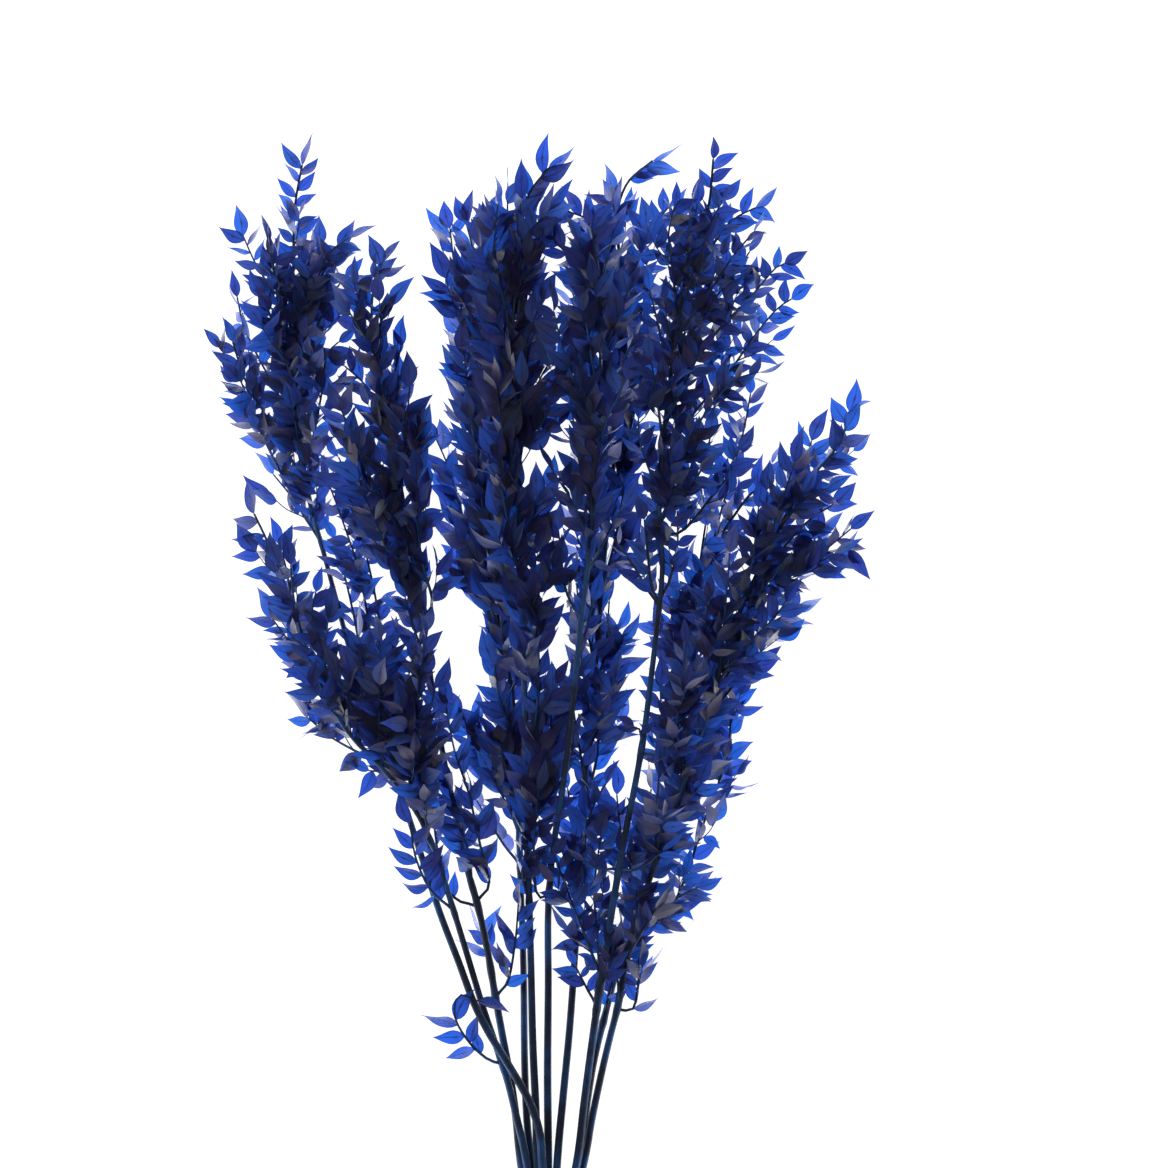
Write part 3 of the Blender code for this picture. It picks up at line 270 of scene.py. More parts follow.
# Each stem: leaf length, stalk radius at the cut end, where the leaves on the stalk begin,
# the route of the stalk as x, y, z with y from the cut end, and the twigs. A twig has the y
# it leaves the stalk at, how far it rises over the stalk's height, and its route in plan.
STEMS = {
    # upper left spray
    "stem_1": dict(leaf=0.0215, radius=0.0028, bare=0.545, route=[
        (0.0006, 0.000, 0.0157), (0.000, 0.050, 0.0155), (-0.004, 0.120, 0.0195),
        (-0.006, 0.142, 0.0215), (-0.013, 0.163, 0.025), (-0.026, 0.186, 0.029),
        (-0.040, 0.209, 0.030), (-0.050, 0.229, 0.030), (-0.060, 0.256, 0.029),
        (-0.073, 0.290, 0.028), (-0.086, 0.330, 0.027), (-0.100, 0.372, 0.0265),
        (-0.115, 0.412, 0.026), (-0.127, 0.442, 0.026), (-0.135, 0.472, 0.026),
        (-0.143, 0.502, 0.026), (-0.151, 0.532, 0.026), (-0.161, 0.570, 0.026),
        (-0.169, 0.620, 0.026), (-0.173, 0.670, 0.026), (-0.171, 0.720, 0.026),
        (-0.170, 0.760, 0.027), (-0.165, 0.790, 0.029)],
    twigs=[
        (0.412, 0.012, [(-0.119, 0.470), (-0.126, 0.515), (-0.137, 0.550), (-0.148, 0.580)]),
        (0.534, -0.014, [(-0.168, 0.562), (-0.189, 0.603), (-0.201, 0.632), (-0.211, 0.655),
                         (-0.221, 0.668)]),
        (0.536, -0.022, [(-0.169, 0.563), (-0.185, 0.583)]),
        (0.560, 0.020, [(-0.158, 0.600), (-0.151, 0.640), (-0.148, 0.662), (-0.140, 0.671)]),
        (0.575, -0.012, [(-0.176, 0.625), (-0.196, 0.664), (-0.205, 0.684), (-0.209, 0.702)]),
        (0.585, 0.022, [(-0.170, 0.640), (-0.183, 0.680), (-0.190, 0.700)]),
        (0.600, -0.020, [(-0.160, 0.650), (-0.147, 0.688), (-0.131, 0.706)]),
        (0.610, 0.012, [(-0.172, 0.655), (-0.183, 0.700), (-0.196, 0.724), (-0.204, 0.742)]),
        (0.630, 0.016, [(-0.164, 0.670), (-0.155, 0.710), (-0.147, 0.730), (-0.133, 0.741)]),
        (0.655, 0.018, [(-0.180, 0.700), (-0.187, 0.738)]),
        (0.670, -0.014, [(-0.166, 0.705), (-0.157, 0.735)]),
    ]),
    # lower left spray, with the dark cluster that lies over stem 1
    "stem_2": dict(leaf=0.023, radius=0.0027, bare=0.400, route=[
        (-0.007, 0.002, 0.0155), (-0.0062, 0.050, 0.0155), (-0.0145, 0.120, 0.0155),
        (-0.021, 0.150, 0.017), (-0.028, 0.178, 0.019), (-0.036, 0.202, 0.0205),
        (-0.044, 0.226, 0.023), (-0.054, 0.260, 0.031), (-0.066, 0.300, 0.042),
        (-0.077, 0.335, 0.056), (-0.092, 0.365, 0.069), (-0.112, 0.389, 0.078),
        (-0.132, 0.410, 0.079), (-0.148, 0.436, 0.076), (-0.162, 0.470, 0.071),
        (-0.174, 0.505, 0.066), (-0.186, 0.535, 0.060), (-0.196, 0.556, 0.056)],
    twigs=[
        (0.187, 0.010, [(-0.040, 0.190), (-0.053, 0.202), (-0.0625, 0.219), (-0.060, 0.234),
                        (-0.047, 0.230)]),
        (0.345, 0.004, [(-0.084, 0.390), (-0.079, 0.420), (-0.075, 0.440)]),
        (0.355, 0.012, [(-0.094, 0.395), (-0.096, 0.430), (-0.090, 0.458)]),
        (0.365, -0.010, [(-0.104, 0.400), (-0.112, 0.440), (-0.107, 0.468)]),
        (0.380, 0.014, [(-0.116, 0.415), (-0.124, 0.440), (-0.121, 0.464)]),
        (0.335, 0.018, [(-0.083, 0.372), (-0.086, 0.430), (-0.080, 0.478)]),
        (0.389, -0.022, [(-0.128, 0.398), (-0.146, 0.408), (-0.160, 0.420)]),
        (0.415, -0.026, [(-0.148, 0.430), (-0.162, 0.446)]),
        (0.432, 0.010, [(-0.148, 0.465), (-0.146, 0.486)]),
        (0.450, -0.012, [(-0.158, 0.485), (-0.155, 0.504)]),
        (0.470, 0.012, [(-0.169, 0.500), (-0.171, 0.522)]),
        (0.490, -0.012, [(-0.175, 0.520), (-0.180, 0.536)]),
    ]),
    # inner left spray
    "stem_3": dict(leaf=0.024, radius=0.0028, bare=0.500, route=[
        (-0.010, -0.004, 0.0105), (-0.0093, 0.050, 0.0102), (-0.0185, 0.120, 0.0095),
        (-0.022, 0.153, 0.010), (-0.026, 0.180, 0.0115), (-0.031, 0.207, 0.0135),
        (-0.036, 0.235, 0.017), (-0.041, 0.265, 0.022), (-0.047, 0.293, 0.029),
        (-0.055, 0.322, 0.037), (-0.063, 0.360, 0.045), (-0.071, 0.400, 0.051),
        (-0.077, 0.440, 0.056), (-0.083, 0.475, 0.060), (-0.089, 0.515, 0.062),
        (-0.094, 0.550, 0.063), (-0.101, 0.590, 0.063), (-0.108, 0.635, 0.062),
        (-0.117, 0.680, 0.061), (-0.116, 0.708, 0.060), (-0.110, 0.724, 0.060)],
    twigs=[
        (0.229, 0.008, [(-0.027, 0.243), (-0.022, 0.270), (-0.020, 0.295)]),
        (0.250, -0.012, [(-0.042, 0.262), (-0.046, 0.275)]),
        (0.293, -0.010, [(-0.060, 0.297), (-0.070, 0.308), (-0.074, 0.330), (-0.078, 0.360),
                         (-0.082, 0.388)]),
        (0.294, 0.012, [(-0.0395, 0.308), (-0.045, 0.333), (-0.053, 0.370), (-0.062, 0.397),
                        (-0.068, 0.428)]),
        (0.482, 0.014, [(-0.077, 0.497), (-0.084, 0.525), (-0.088, 0.560), (-0.090, 0.590),
                        (-0.086, 0.612)]),
        (0.515, -0.014, [(-0.102, 0.530), (-0.117, 0.551), (-0.129, 0.573), (-0.140, 0.594)]),
        (0.530, 0.010, [(-0.100, 0.552), (-0.114, 0.572), (-0.127, 0.600), (-0.137, 0.624)]),
        (0.565, 0.016, [(-0.096, 0.600), (-0.093, 0.626), (-0.092, 0.640)]),
        (0.585, -0.014, [(-0.110, 0.620), (-0.122, 0.642), (-0.136, 0.655)]),
        (0.610, -0.010, [(-0.103, 0.645), (-0.098, 0.668)]),
        (0.635, 0.012, [(-0.117, 0.665), (-0.132, 0.690)]),
        (0.650, 0.012, [(-0.112, 0.680), (-0.105, 0.694)]),
    ]),
    # left middle spray, behind
    "stem_4": dict(leaf=0.0232, radius=0.0026, bare=0.340, route=[
        (-0.0066, 0.004, 0.005), (-0.0062, 0.050, 0.0048), (-0.0115, 0.120, 0.0055),
        (-0.0145, 0.150, 0.0065), (-0.016, 0.190, 0.008), (-0.0165, 0.240, 0.011),
        (-0.0175, 0.280, 0.0145), (-0.019, 0.320, 0.0175), (-0.020, 0.360, 0.020),
        (-0.022, 0.410, 0.022), (-0.027, 0.460, 0.0235), (-0.032, 0.510, 0.0245),
        (-0.036, 0.560, 0.025), (-0.040, 0.620, 0.025), (-0.045, 0.680, 0.025),
        (-0.050, 0.730, 0.025), (-0.055, 0.752, 0.025)],
    twigs=[
        (0.320, -0.006, [(-0.029, 0.333), (-0.040, 0.350), (-0.048, 0.364)]),
        (0.335, 0.014, [(-0.028, 0.362), (-0.039, 0.382)]),
        (0.350, 0.006, [(-0.026, 0.380), (-0.034, 0.402)]),
        (0.365, -0.010, [(-0.026, 0.400), (-0.031, 0.440), (-0.034, 0.466)]),
        (0.400, 0.016, [(-0.032, 0.430), (-0.036, 0.455)]),
        (0.440, 0.012, [(-0.030, 0.470), (-0.032, 0.505)]),
        (0.450, -0.010, [(-0.037, 0.478), (-0.047, 0.508), (-0.053, 0.535), (-0.061, 0.568),
                         (-0.068, 0.590),
                             (-0.075, 0.606)]),
        (0.485, 0.014, [(-0.040, 0.525), (-0.045, 0.570)]),
        (0.500, -0.012, [(-0.028, 0.545), (-0.023, 0.590)]),
        (0.545, 0.014, [(-0.046, 0.590), (-0.052, 0.620)]),
        (0.560, -0.010, [(-0.050, 0.610), (-0.055, 0.650), (-0.058, 0.690), (-0.063, 0.722),
                         (-0.066, 0.748)]),
        (0.590, 0.016, [(-0.037, 0.630), (-0.034, 0.665)]),
        (0.620, -0.014, [(-0.042, 0.660), (-0.036, 0.705)]),
        (0.640, 0.014, [(-0.050, 0.680), (-0.056, 0.705)]),
        (0.670, 0.010, [(-0.044, 0.710), (-0.041, 0.750)]),
    ]),
    # left middle spray, above
    "stem_5": dict(leaf=0.024, radius=0.0027, bare=0.470, route=[
        (-0.0033, -0.002, 0.0102), (-0.0031, 0.050, 0.0102), (-0.0072, 0.120, 0.0105),
        (-0.0085, 0.160, 0.013), (-0.0103, 0.200, 0.0165), (-0.0115, 0.250, 0.022),
        (-0.0125, 0.290, 0.029), (-0.014, 0.340, 0.039), (-0.015, 0.400, 0.052),
        (-0.016, 0.460, 0.062), (-0.018, 0.520, 0.067), (-0.020, 0.580, 0.069),
        (-0.022, 0.640, 0.069), (-0.023, 0.700, 0.068), (-0.020, 0.745, 0.066),
        (-0.012, 0.770, 0.065), (0.000, 0.786, 0.064)],
    twigs=[
        (0.380, 0.010, [(-0.008, 0.420), (-0.006, 0.455), (-0.007, 0.490)]),
        (0.440, -0.012, [(-0.022, 0.475), (-0.024, 0.505)]),
        (0.470, 0.014, [(-0.008, 0.500), (0.004, 0.520)]),
        (0.500, 0.012, [(-0.025, 0.540), (-0.032, 0.580)]),
        (0.515, -0.014, [(-0.012, 0.545), (-0.002, 0.575)]),
        (0.550, 0.012, [(-0.028, 0.600), (-0.034, 0.640)]),
        (0.575, 0.012, [(-0.012, 0.625), (-0.003, 0.650), (0.007, 0.662)]),
        (0.600, -0.014, [(-0.028, 0.640), (-0.036, 0.680), (-0.040, 0.712)]),
        (0.610, 0.008, [(-0.017, 0.660), (-0.010, 0.683), (-0.004, 0.698)]),
        (0.640, -0.012, [(-0.016, 0.690), (-0.010, 0.722), (0.000, 0.742)]),
        (0.660, 0.014, [(-0.030, 0.700), (-0.036, 0.736), (-0.033, 0.762)]),
        (0.680, 0.010, [(-0.020, 0.715), (-0.012, 0.742), (0.001, 0.758)]),
        (0.700, -0.010, [(-0.027, 0.730), (-0.027, 0.765)]),
    ]),
    # middle spray, the front one
    "stem_6": dict(leaf=0.0232, radius=0.0028, bare=0.520, route=[
        (0.000, 0.000, 0.0049), (0.000, 0.050, 0.0048), (0.000, 0.120, 0.006),
        (-0.0005, 0.180, 0.009), (0.000, 0.240, 0.015), (0.000, 0.290, 0.024),
        (0.003, 0.330, 0.036), (0.0085, 0.365, 0.050), (0.014, 0.405, 0.065), (0.018, 0.445, 0.078),
        (0.022, 0.485, 0.086), (0.027, 0.525, 0.089), (0.030, 0.570, 0.089), (0.032, 0.620, 0.087),
        (0.035, 0.665, 0.084), (0.034, 0.710, 0.080), (0.029, 0.748, 0.077)],
    twigs=[
        (0.297, 0.006, [(-0.007, 0.300), (-0.0095, 0.318), (-0.009, 0.345), (-0.006, 0.372)]),
        (0.297, -0.004, [(0.009, 0.298), (0.015, 0.312), (0.017, 0.335)]),
        (0.480, -0.018, [(0.012, 0.505), (0.007, 0.545)]),
        (0.510, -0.018, [(0.036, 0.535), (0.049, 0.560)]),
        (0.530, 0.012, [(0.018, 0.560), (0.006, 0.580)]),
        (0.550, -0.016, [(0.038, 0.590), (0.044, 0.620)]),
        (0.565, -0.014, [(0.020, 0.600), (0.014, 0.640)]),
        (0.580, 0.014, [(0.040, 0.620), (0.052, 0.645)]),
        (0.590, 0.010, [(0.022, 0.630), (0.010, 0.665), (0.004, 0.690)]),
        (0.610, -0.020, [(0.045, 0.645), (0.058, 0.675)]),
        (0.630, 0.014, [(0.028, 0.665), (0.024, 0.690)]),
        (0.650, 0.010, [(0.044, 0.680), (0.054, 0.705)]),
        (0.670, -0.012, [(0.026, 0.705), (0.014, 0.727), (0.004, 0.738)]),
        (0.690, -0.012, [(0.038, 0.720), (0.043, 0.742)]),
    ]),
    # middle spray, behind stem 6
    "stem_7": dict(leaf=0.0235, radius=0.0027, bare=0.480, route=[
        (0.0032, 0.006, 0.0102), (0.0031, 0.050, 0.0102), (0.006, 0.120, 0.0085),
        (0.010, 0.165, 0.0095), (0.0143, 0.210, 0.012), (0.0172, 0.250, 0.0145),
        (0.0197, 0.290, 0.017), (0.022, 0.330, 0.019), (0.025, 0.380, 0.0215),
        (0.029, 0.430, 0.0235), (0.033, 0.470, 0.0245), (0.037, 0.520, 0.025),
        (0.042, 0.570, 0.025), (0.048, 0.630, 0.025), (0.050, 0.680, 0.0255),
        (0.048, 0.725, 0.0265), (0.046, 0.755, 0.028), (0.053, 0.778, 0.029), (0.070, 0.793, 0.030)],
    twigs=[
        (0.300, 0.012, [(0.024, 0.330), (0.026, 0.352)]),
        (0.315, -0.008, [(0.017, 0.345), (0.013, 0.372)]),
        (0.330, 0.014, [(0.030, 0.360), (0.039, 0.376)]),
        (0.370, 0.012, [(0.020, 0.405), (0.016, 0.432)]),
        (0.350, -0.010, [(0.032, 0.390), (0.036, 0.430), (0.039, 0.470), (0.041, 0.498)]),
        (0.390, 0.014, [(0.036, 0.420), (0.045, 0.446)]),
        (0.410, 0.020, [(0.025, 0.440), (0.020, 0.475)]),
        (0.430, -0.006, [(0.038, 0.460), (0.047, 0.478)]),
        (0.470, -0.012, [(0.030, 0.510), (0.018, 0.545)]),
        (0.500, 0.010, [(0.045, 0.540), (0.052, 0.580)]),
        (0.540, -0.012, [(0.036, 0.580), (0.028, 0.625)]),
        (0.560, 0.012, [(0.052, 0.600), (0.062, 0.645), (0.066, 0.675)]),
        (0.600, -0.012, [(0.040, 0.640), (0.024, 0.680), (0.016, 0.706)]),
        (0.620, -0.010, [(0.057, 0.660), (0.064, 0.700)]),
        (0.650, 0.010, [(0.042, 0.690), (0.034, 0.725), (0.029, 0.752)]),
        (0.680, 0.010, [(0.057, 0.715), (0.066, 0.742), (0.081, 0.762)]),
        (0.735, -0.006, [(0.040, 0.748), (0.028, 0.754), (0.014, 0.759)]),
    ]),
    # upper right spray
    "stem_8": dict(leaf=0.020, radius=0.0028, bare=0.550, route=[
        (0.0066, -0.003, 0.0155), (0.0062, 0.050, 0.0155), (0.019, 0.120, 0.017),
        (0.024, 0.160, 0.021), (0.0285, 0.195, 0.025), (0.034, 0.235, 0.031), (0.039, 0.268, 0.037),
        (0.045, 0.305, 0.044), (0.051, 0.340, 0.051), (0.058, 0.375, 0.058), (0.064, 0.410, 0.065),
        (0.069, 0.450, 0.072), (0.073, 0.485, 0.077), (0.076, 0.520, 0.080), (0.074, 0.560, 0.081),
        (0.076, 0.600, 0.081), (0.082, 0.650, 0.080), (0.089, 0.700, 0.078), (0.099, 0.740, 0.076),
        (0.107, 0.762, 0.074), (0.110, 0.792, 0.072)],
    twigs=[
        (0.240, -0.006, [(0.026, 0.270), (0.016, 0.296), (0.008, 0.318), (0.003, 0.334)]),
        (0.236, -0.012, [(0.033, 0.270), (0.031, 0.305), (0.035, 0.340)]),
        (0.318, 0.008, [(0.034, 0.319), (0.024, 0.325)]),
        (0.314, 0.014, [(0.060, 0.319), (0.076, 0.331)]),
        (0.398, 0.010, [(0.060, 0.414), (0.052, 0.412)]),
        (0.393, 0.012, [(0.077, 0.396), (0.085, 0.415), (0.089, 0.445), (0.092, 0.470)]),
        (0.490, -0.014, [(0.066, 0.506), (0.056, 0.523), (0.042, 0.542)]),
        (0.535, -0.018, [(0.090, 0.545), (0.107, 0.565), (0.122, 0.585), (0.130, 0.610),
                         (0.135, 0.636)]),
        (0.545, 0.010, [(0.086, 0.575), (0.094, 0.610)]),
        (0.560, 0.012, [(0.062, 0.600), (0.060, 0.620)]),
        (0.565, 0.004, [(0.090, 0.600), (0.110, 0.630), (0.125, 0.645), (0.140, 0.650)]),
        (0.580, -0.012, [(0.095, 0.620), (0.118, 0.647), (0.138, 0.675), (0.152, 0.692),
                         (0.162, 0.699)]),
        (0.600, 0.014, [(0.072, 0.635), (0.068, 0.660)]),
        (0.610, 0.014, [(0.090, 0.640), (0.102, 0.665)]),
        (0.625, 0.008, [(0.096, 0.655), (0.115, 0.680), (0.133, 0.698), (0.150, 0.718),
                        (0.157, 0.722)]),
        (0.640, -0.016, [(0.075, 0.675), (0.068, 0.705)]),
        (0.655, -0.018, [(0.098, 0.690), (0.112, 0.715)]),
        (0.665, 0.012, [(0.105, 0.700), (0.124, 0.728), (0.136, 0.742)]),
        (0.680, 0.016, [(0.083, 0.715), (0.080, 0.740), (0.084, 0.760)]),
        (0.690, -0.010, [(0.104, 0.725), (0.121, 0.750), (0.138, 0.760)]),
        (0.700, 0.012, [(0.093, 0.730), (0.094, 0.755)]),
    ]),
    # lower right spray, behind
    "stem_9": dict(leaf=0.022, radius=0.0027, bare=0.300, route=[
        (0.0066, 0.003, 0.0049), (0.0062, 0.050, 0.0048), (0.0205, 0.120, 0.0055),
        (0.026, 0.160, 0.008), (0.031, 0.190, 0.010), (0.039, 0.223, 0.0115),
        (0.046, 0.250, 0.0125), (0.053, 0.276, 0.0135), (0.060, 0.303, 0.015),
        (0.071, 0.332, 0.017), (0.081, 0.360, 0.019), (0.087, 0.395, 0.0205), (0.091, 0.440, 0.022),
        (0.095, 0.485, 0.0235), (0.104, 0.520, 0.024), (0.116, 0.542, 0.024), (0.126, 0.557, 0.024),
        (0.136, 0.570, 0.024), (0.146, 0.577, 0.024), (0.150, 0.590, 0.025)],
    twigs=[
        (0.273, 0.004, [(0.066, 0.276), (0.083, 0.293), (0.093, 0.315), (0.103, 0.345), (0.114, 0.375),
                        (0.121, 0.398), (0.123, 0.425), (0.130, 0.445), (0.139, 0.466)]),
        (0.310, 0.010, [(0.066, 0.340), (0.069, 0.372)]),
        (0.340, -0.008, [(0.080, 0.372), (0.092, 0.395), (0.099, 0.415)]),
        (0.365, 0.010, [(0.077, 0.405), (0.075, 0.440)]),
        (0.400, 0.012, [(0.094, 0.440), (0.105, 0.470)]),
        (0.420, -0.010, [(0.083, 0.465), (0.084, 0.505)]),
        (0.450, 0.010, [(0.098, 0.490), (0.104, 0.520)]),
        (0.480, -0.012, [(0.105, 0.505), (0.117, 0.520)]),
        (0.500, 0.010, [(0.104, 0.540), (0.108, 0.565)]),
        (0.525, -0.010, [(0.118, 0.565), (0.124, 0.585)]),
    ]),
    # lower right spray, the outer one
    "stem_10": dict(leaf=0.0225, radius=0.0026, bare=0.250, route=[
        (0.0099, 0.008, 0.0102), (0.0093, 0.050, 0.0102), (0.024, 0.120, 0.0105),
        (0.029, 0.148, 0.0125), (0.035, 0.177, 0.015), (0.041, 0.203, 0.0175),
        (0.047, 0.227, 0.0205), (0.051, 0.250, 0.025), (0.058, 0.280, 0.031), (0.069, 0.315, 0.039),
        (0.082, 0.350, 0.047), (0.095, 0.390, 0.055), (0.108, 0.430, 0.060), (0.120, 0.470, 0.063),
        (0.134, 0.505, 0.064), (0.150, 0.538, 0.064), (0.166, 0.568, 0.063), (0.182, 0.588, 0.061),
        (0.195, 0.604, 0.060), (0.201, 0.624, 0.059)],
    twigs=[
        (0.223, -0.006, [(0.056, 0.223), (0.060, 0.236), (0.061, 0.262), (0.061, 0.282)]),
        (0.255, 0.012, [(0.060, 0.272), (0.072, 0.292)]),
        (0.275, -0.010, [(0.054, 0.300), (0.055, 0.325)]),
        (0.320, 0.012, [(0.072, 0.350), (0.074, 0.385)]),
        (0.345, -0.010, [(0.094, 0.370), (0.108, 0.392)]),
        (0.370, 0.012, [(0.090, 0.405), (0.094, 0.440)]),
        (0.395, -0.012, [(0.108, 0.420), (0.128, 0.446), (0.142, 0.458)]),
        (0.420, 0.012, [(0.104, 0.460), (0.106, 0.500)]),
        (0.430, -0.014, [(0.125, 0.455), (0.145, 0.480), (0.165, 0.492)]),
        (0.450, 0.012, [(0.118, 0.495), (0.121, 0.530)]),
        (0.470, -0.010, [(0.140, 0.495), (0.167, 0.519), (0.186, 0.533), (0.202, 0.546)]),
        (0.485, 0.012, [(0.136, 0.525), (0.140, 0.560)]),
        (0.505, -0.012, [(0.150, 0.525), (0.172, 0.550), (0.190, 0.562)]),
        (0.520, 0.014, [(0.154, 0.560), (0.164, 0.590)]),
        (0.545, 0.010, [(0.170, 0.565), (0.186, 0.573)]),
        (0.560, -0.012, [(0.172, 0.590), (0.176, 0.605)]),
    ]),
}


def smooth_path(points, lead=None, fine=8):
    """A smooth line through all the points. lead is the direction it starts in."""
    p = [Vector(point) for point in points]
    before = p[0] - (lead if lead is not None else p[1] - p[0])
    after = 2 * p[-1] - p[-2]
    p = [before] + p + [after]
    line = []
    for i in range(1, len(p) - 2):
        a, b, c, d = p[i - 1:i + 3]
        for k in range(fine):
            t = k / fine
            line.append(0.5 * (2 * b + (c - a) * t + (2 * a - 5 * b + 4 * c - d) * t * t
                               + (3 * b - a - 3 * c + d) * t ** 3))
    line.append(p[-2])
    return line


def lengths_along(line):
    """How far each point is from the start, along the line."""
    total = [0.0]
    for a, b in zip(line, line[1:]):
        total.append(total[-1] + (b - a).length)
    return total


def point_at(line, reach, distance):
    """The point and the direction at a distance along a line."""
    i = int(np.searchsorted(reach, distance)) - 1
    i = max(0, min(i, len(line) - 2))
    share = (distance - reach[i]) / max(reach[i + 1] - reach[i], 1e-9)
    return line[i].lerp(line[i + 1], min(1.0, share)), (line[i + 1] - line[i]).normalized()


def in_frame(point):
    """A route's point, whose y is from the cut end, with y from the tie."""
    return Vector((point[0], point[1] - TIE_Y, point[2]))


def stalk_path(stem):
    """From the cut end straight through the tie, then along the route."""
    cut, tied, *rest = [in_frame(point) for point in stem["route"]]
    straight = Vector((0.0, TIE_WIDTH * 0.6, 0.0))
    return [cut, tied - straight] + smooth_path([tied + straight] + rest, lead=straight * 5)


def twig_path(stalk, leaves_at, rise, plan):
    """A twig's line: out of the stalk's middle, rising or sinking on its way to the tip."""
    i = next(k for k, point in enumerate(stalk) if point.y > leaves_at - TIE_Y)
    start, along = stalk[i], (stalk[i] - stalk[i - 1]).normalized()
    points = [start]
    for k, (x, y) in enumerate(plan, 1):
        share = min(1.0, k / max(1, len(plan) - 1))
        near = min(stalk, key=lambda q: abs(q.y + TIE_Y - y))
        points.append(Vector((x, y - TIE_Y, max(near.z + rise * share, TABLE + LOWEST_TWIG))))
    first = (points[1] - points[0]).length
    return smooth_path(points, lead=along * first * 0.8)


def well_inside(point):
    low, high = CAD_BOX
    return all(low[k] + BOX_MARGIN <= point[k] <= high[k] - BOX_MARGIN for k in range(3))


def out_of(along, turn):
    """The direction straight out of a line of wood, at a turn round it."""
    side = along.cross(Vector((0, 0, 1))).normalized()
    up = side.cross(along)
    return side * math.cos(turn) + up * math.sin(turn)


def short_twigs(line, start, dice):
    """Short side twigs that fill the spray out round a leafy line."""
    reach = lengths_along(line)
    found = []
    turn = dice.uniform(*ANY_TURN)
    distance = start
    while distance < reach[-1] - SHORT_LAST:
        point, along = point_at(line, reach, distance)
        outward = out_of(along, turn)
        span = dice.uniform(*SHORT_SPAN)
        points = [point]
        for ahead, away in SHORT_HALVES:
            points.append(points[-1] + (along * ahead + outward * away).normalized() * span * 0.5)
        if well_inside(points[-1]):
            found.append(smooth_path(points, lead=along * span * 0.4, fine=3))
        turn += GOLDEN_TURN + dice.uniform(-UNEVEN_TURN, UNEVEN_TURN)
        distance += SHORT_STEP * dice.uniform(*UNEVEN_STEP)
    return found


def tube_rings(line, radii, sides):
    """Points and faces of a round tube along a line, closed at both ends."""
    points, faces = [], []
    guide = Vector((0.03, 0.05, 1.0))
    for k, place in enumerate(line):
        before = line[max(0, k - 1)]
        after = line[min(len(line) - 1, k + 1)]
        along = (after - before).normalized()
        across = along.cross(guide).normalized()
        up = across.cross(along)
        for j in range(sides):
            angle = 2 * math.pi * j / sides
            points.append(place + (across * math.cos(angle) + up * math.sin(angle)) * radii[k])
    for k in range(len(line) - 1):
        for j in range(sides):
            a, b = k * sides + j, k * sides + (j + 1) % sides
            faces.append((a, b, b + sides, a + sides))
    faces.append(tuple(reversed(range(sides))))
    faces.append(tuple(range((len(line) - 1) * sides, len(line) * sides)))
    return points, faces


def tube_mesh(name, tubes):
    """One mesh of round tubes, each given as (line, radii, sides)."""
    points, faces = [], []
    for line, radii, sides in tubes:
        more, new = tube_rings(line, radii, sides)
        faces.extend(tuple(i + len(points) for i in face) for face in new)
        points.extend(more)
    mesh = bpy.data.meshes.new(name)
    mesh.from_pydata([point[:] for point in points], [], faces)
    mesh.polygons.foreach_set("use_smooth", [True] * len(mesh.polygons))
    mesh.update()
    return mesh


def stalk_radii(line, radius, knots):
    """The stalk thins towards the tip, and swells a little where twigs leave it."""
    reach = lengths_along(line)
    radii = []
    for place, distance in zip(line, reach):
        thin = radius + (STALK_TIP_RADIUS - radius) * (distance / reach[-1]) ** 1.25
        thin *= 1 + FREE_SWELL * min(1.0, max(0.0, distance - FREE_FROM) / FREE_OVER)
        swell = sum(math.exp(-((place - knot).length / KNOT_REACH) ** 2) for knot in knots)
        radii.append(thin * (1 + KNOT_SWELL * min(1.0, swell)))
    return radii


def taper(line, thick, thin):
    """Radii that run evenly from thick to thin."""
    return [thick + (thin - thick) * k / (len(line) - 1) for k in range(len(line))]


def fine_line(line, step):
    """The same line with its points evenly spaced, about a step apart."""
    reach = lengths_along(line)
    count = max(2, round(reach[-1] / step))
    return [point_at(line, reach, reach[-1] * k / count)[0] for k in range(count + 1)]


def leaf_template():
    """u along a leaf and v across it, for each corner of a small grid, and its faces."""
    bm = bmesh.new()
    bmesh.ops.create_grid(bm, x_segments=ROWS, y_segments=COLUMNS, size=1.0)
    u = np.array([(vert.co.x + 1) / 2 for vert in bm.verts])
    v = np.array([vert.co.y for vert in bm.verts])
    faces = np.array([[vert.index for vert in face.verts] for face in bm.faces])
    bm.free()
    return u, v, faces


def half_width(u):
    """The outline of a leaf: widest before the middle, then drawn out to a sharp point."""
    blade = np.sin(np.pi * np.clip(u, 0, 1) ** LEAF_SHOULDER)
    return np.clip(blade, 0, 1) ** LEAF_POINT + LEAF_FOOT * (1 - u)


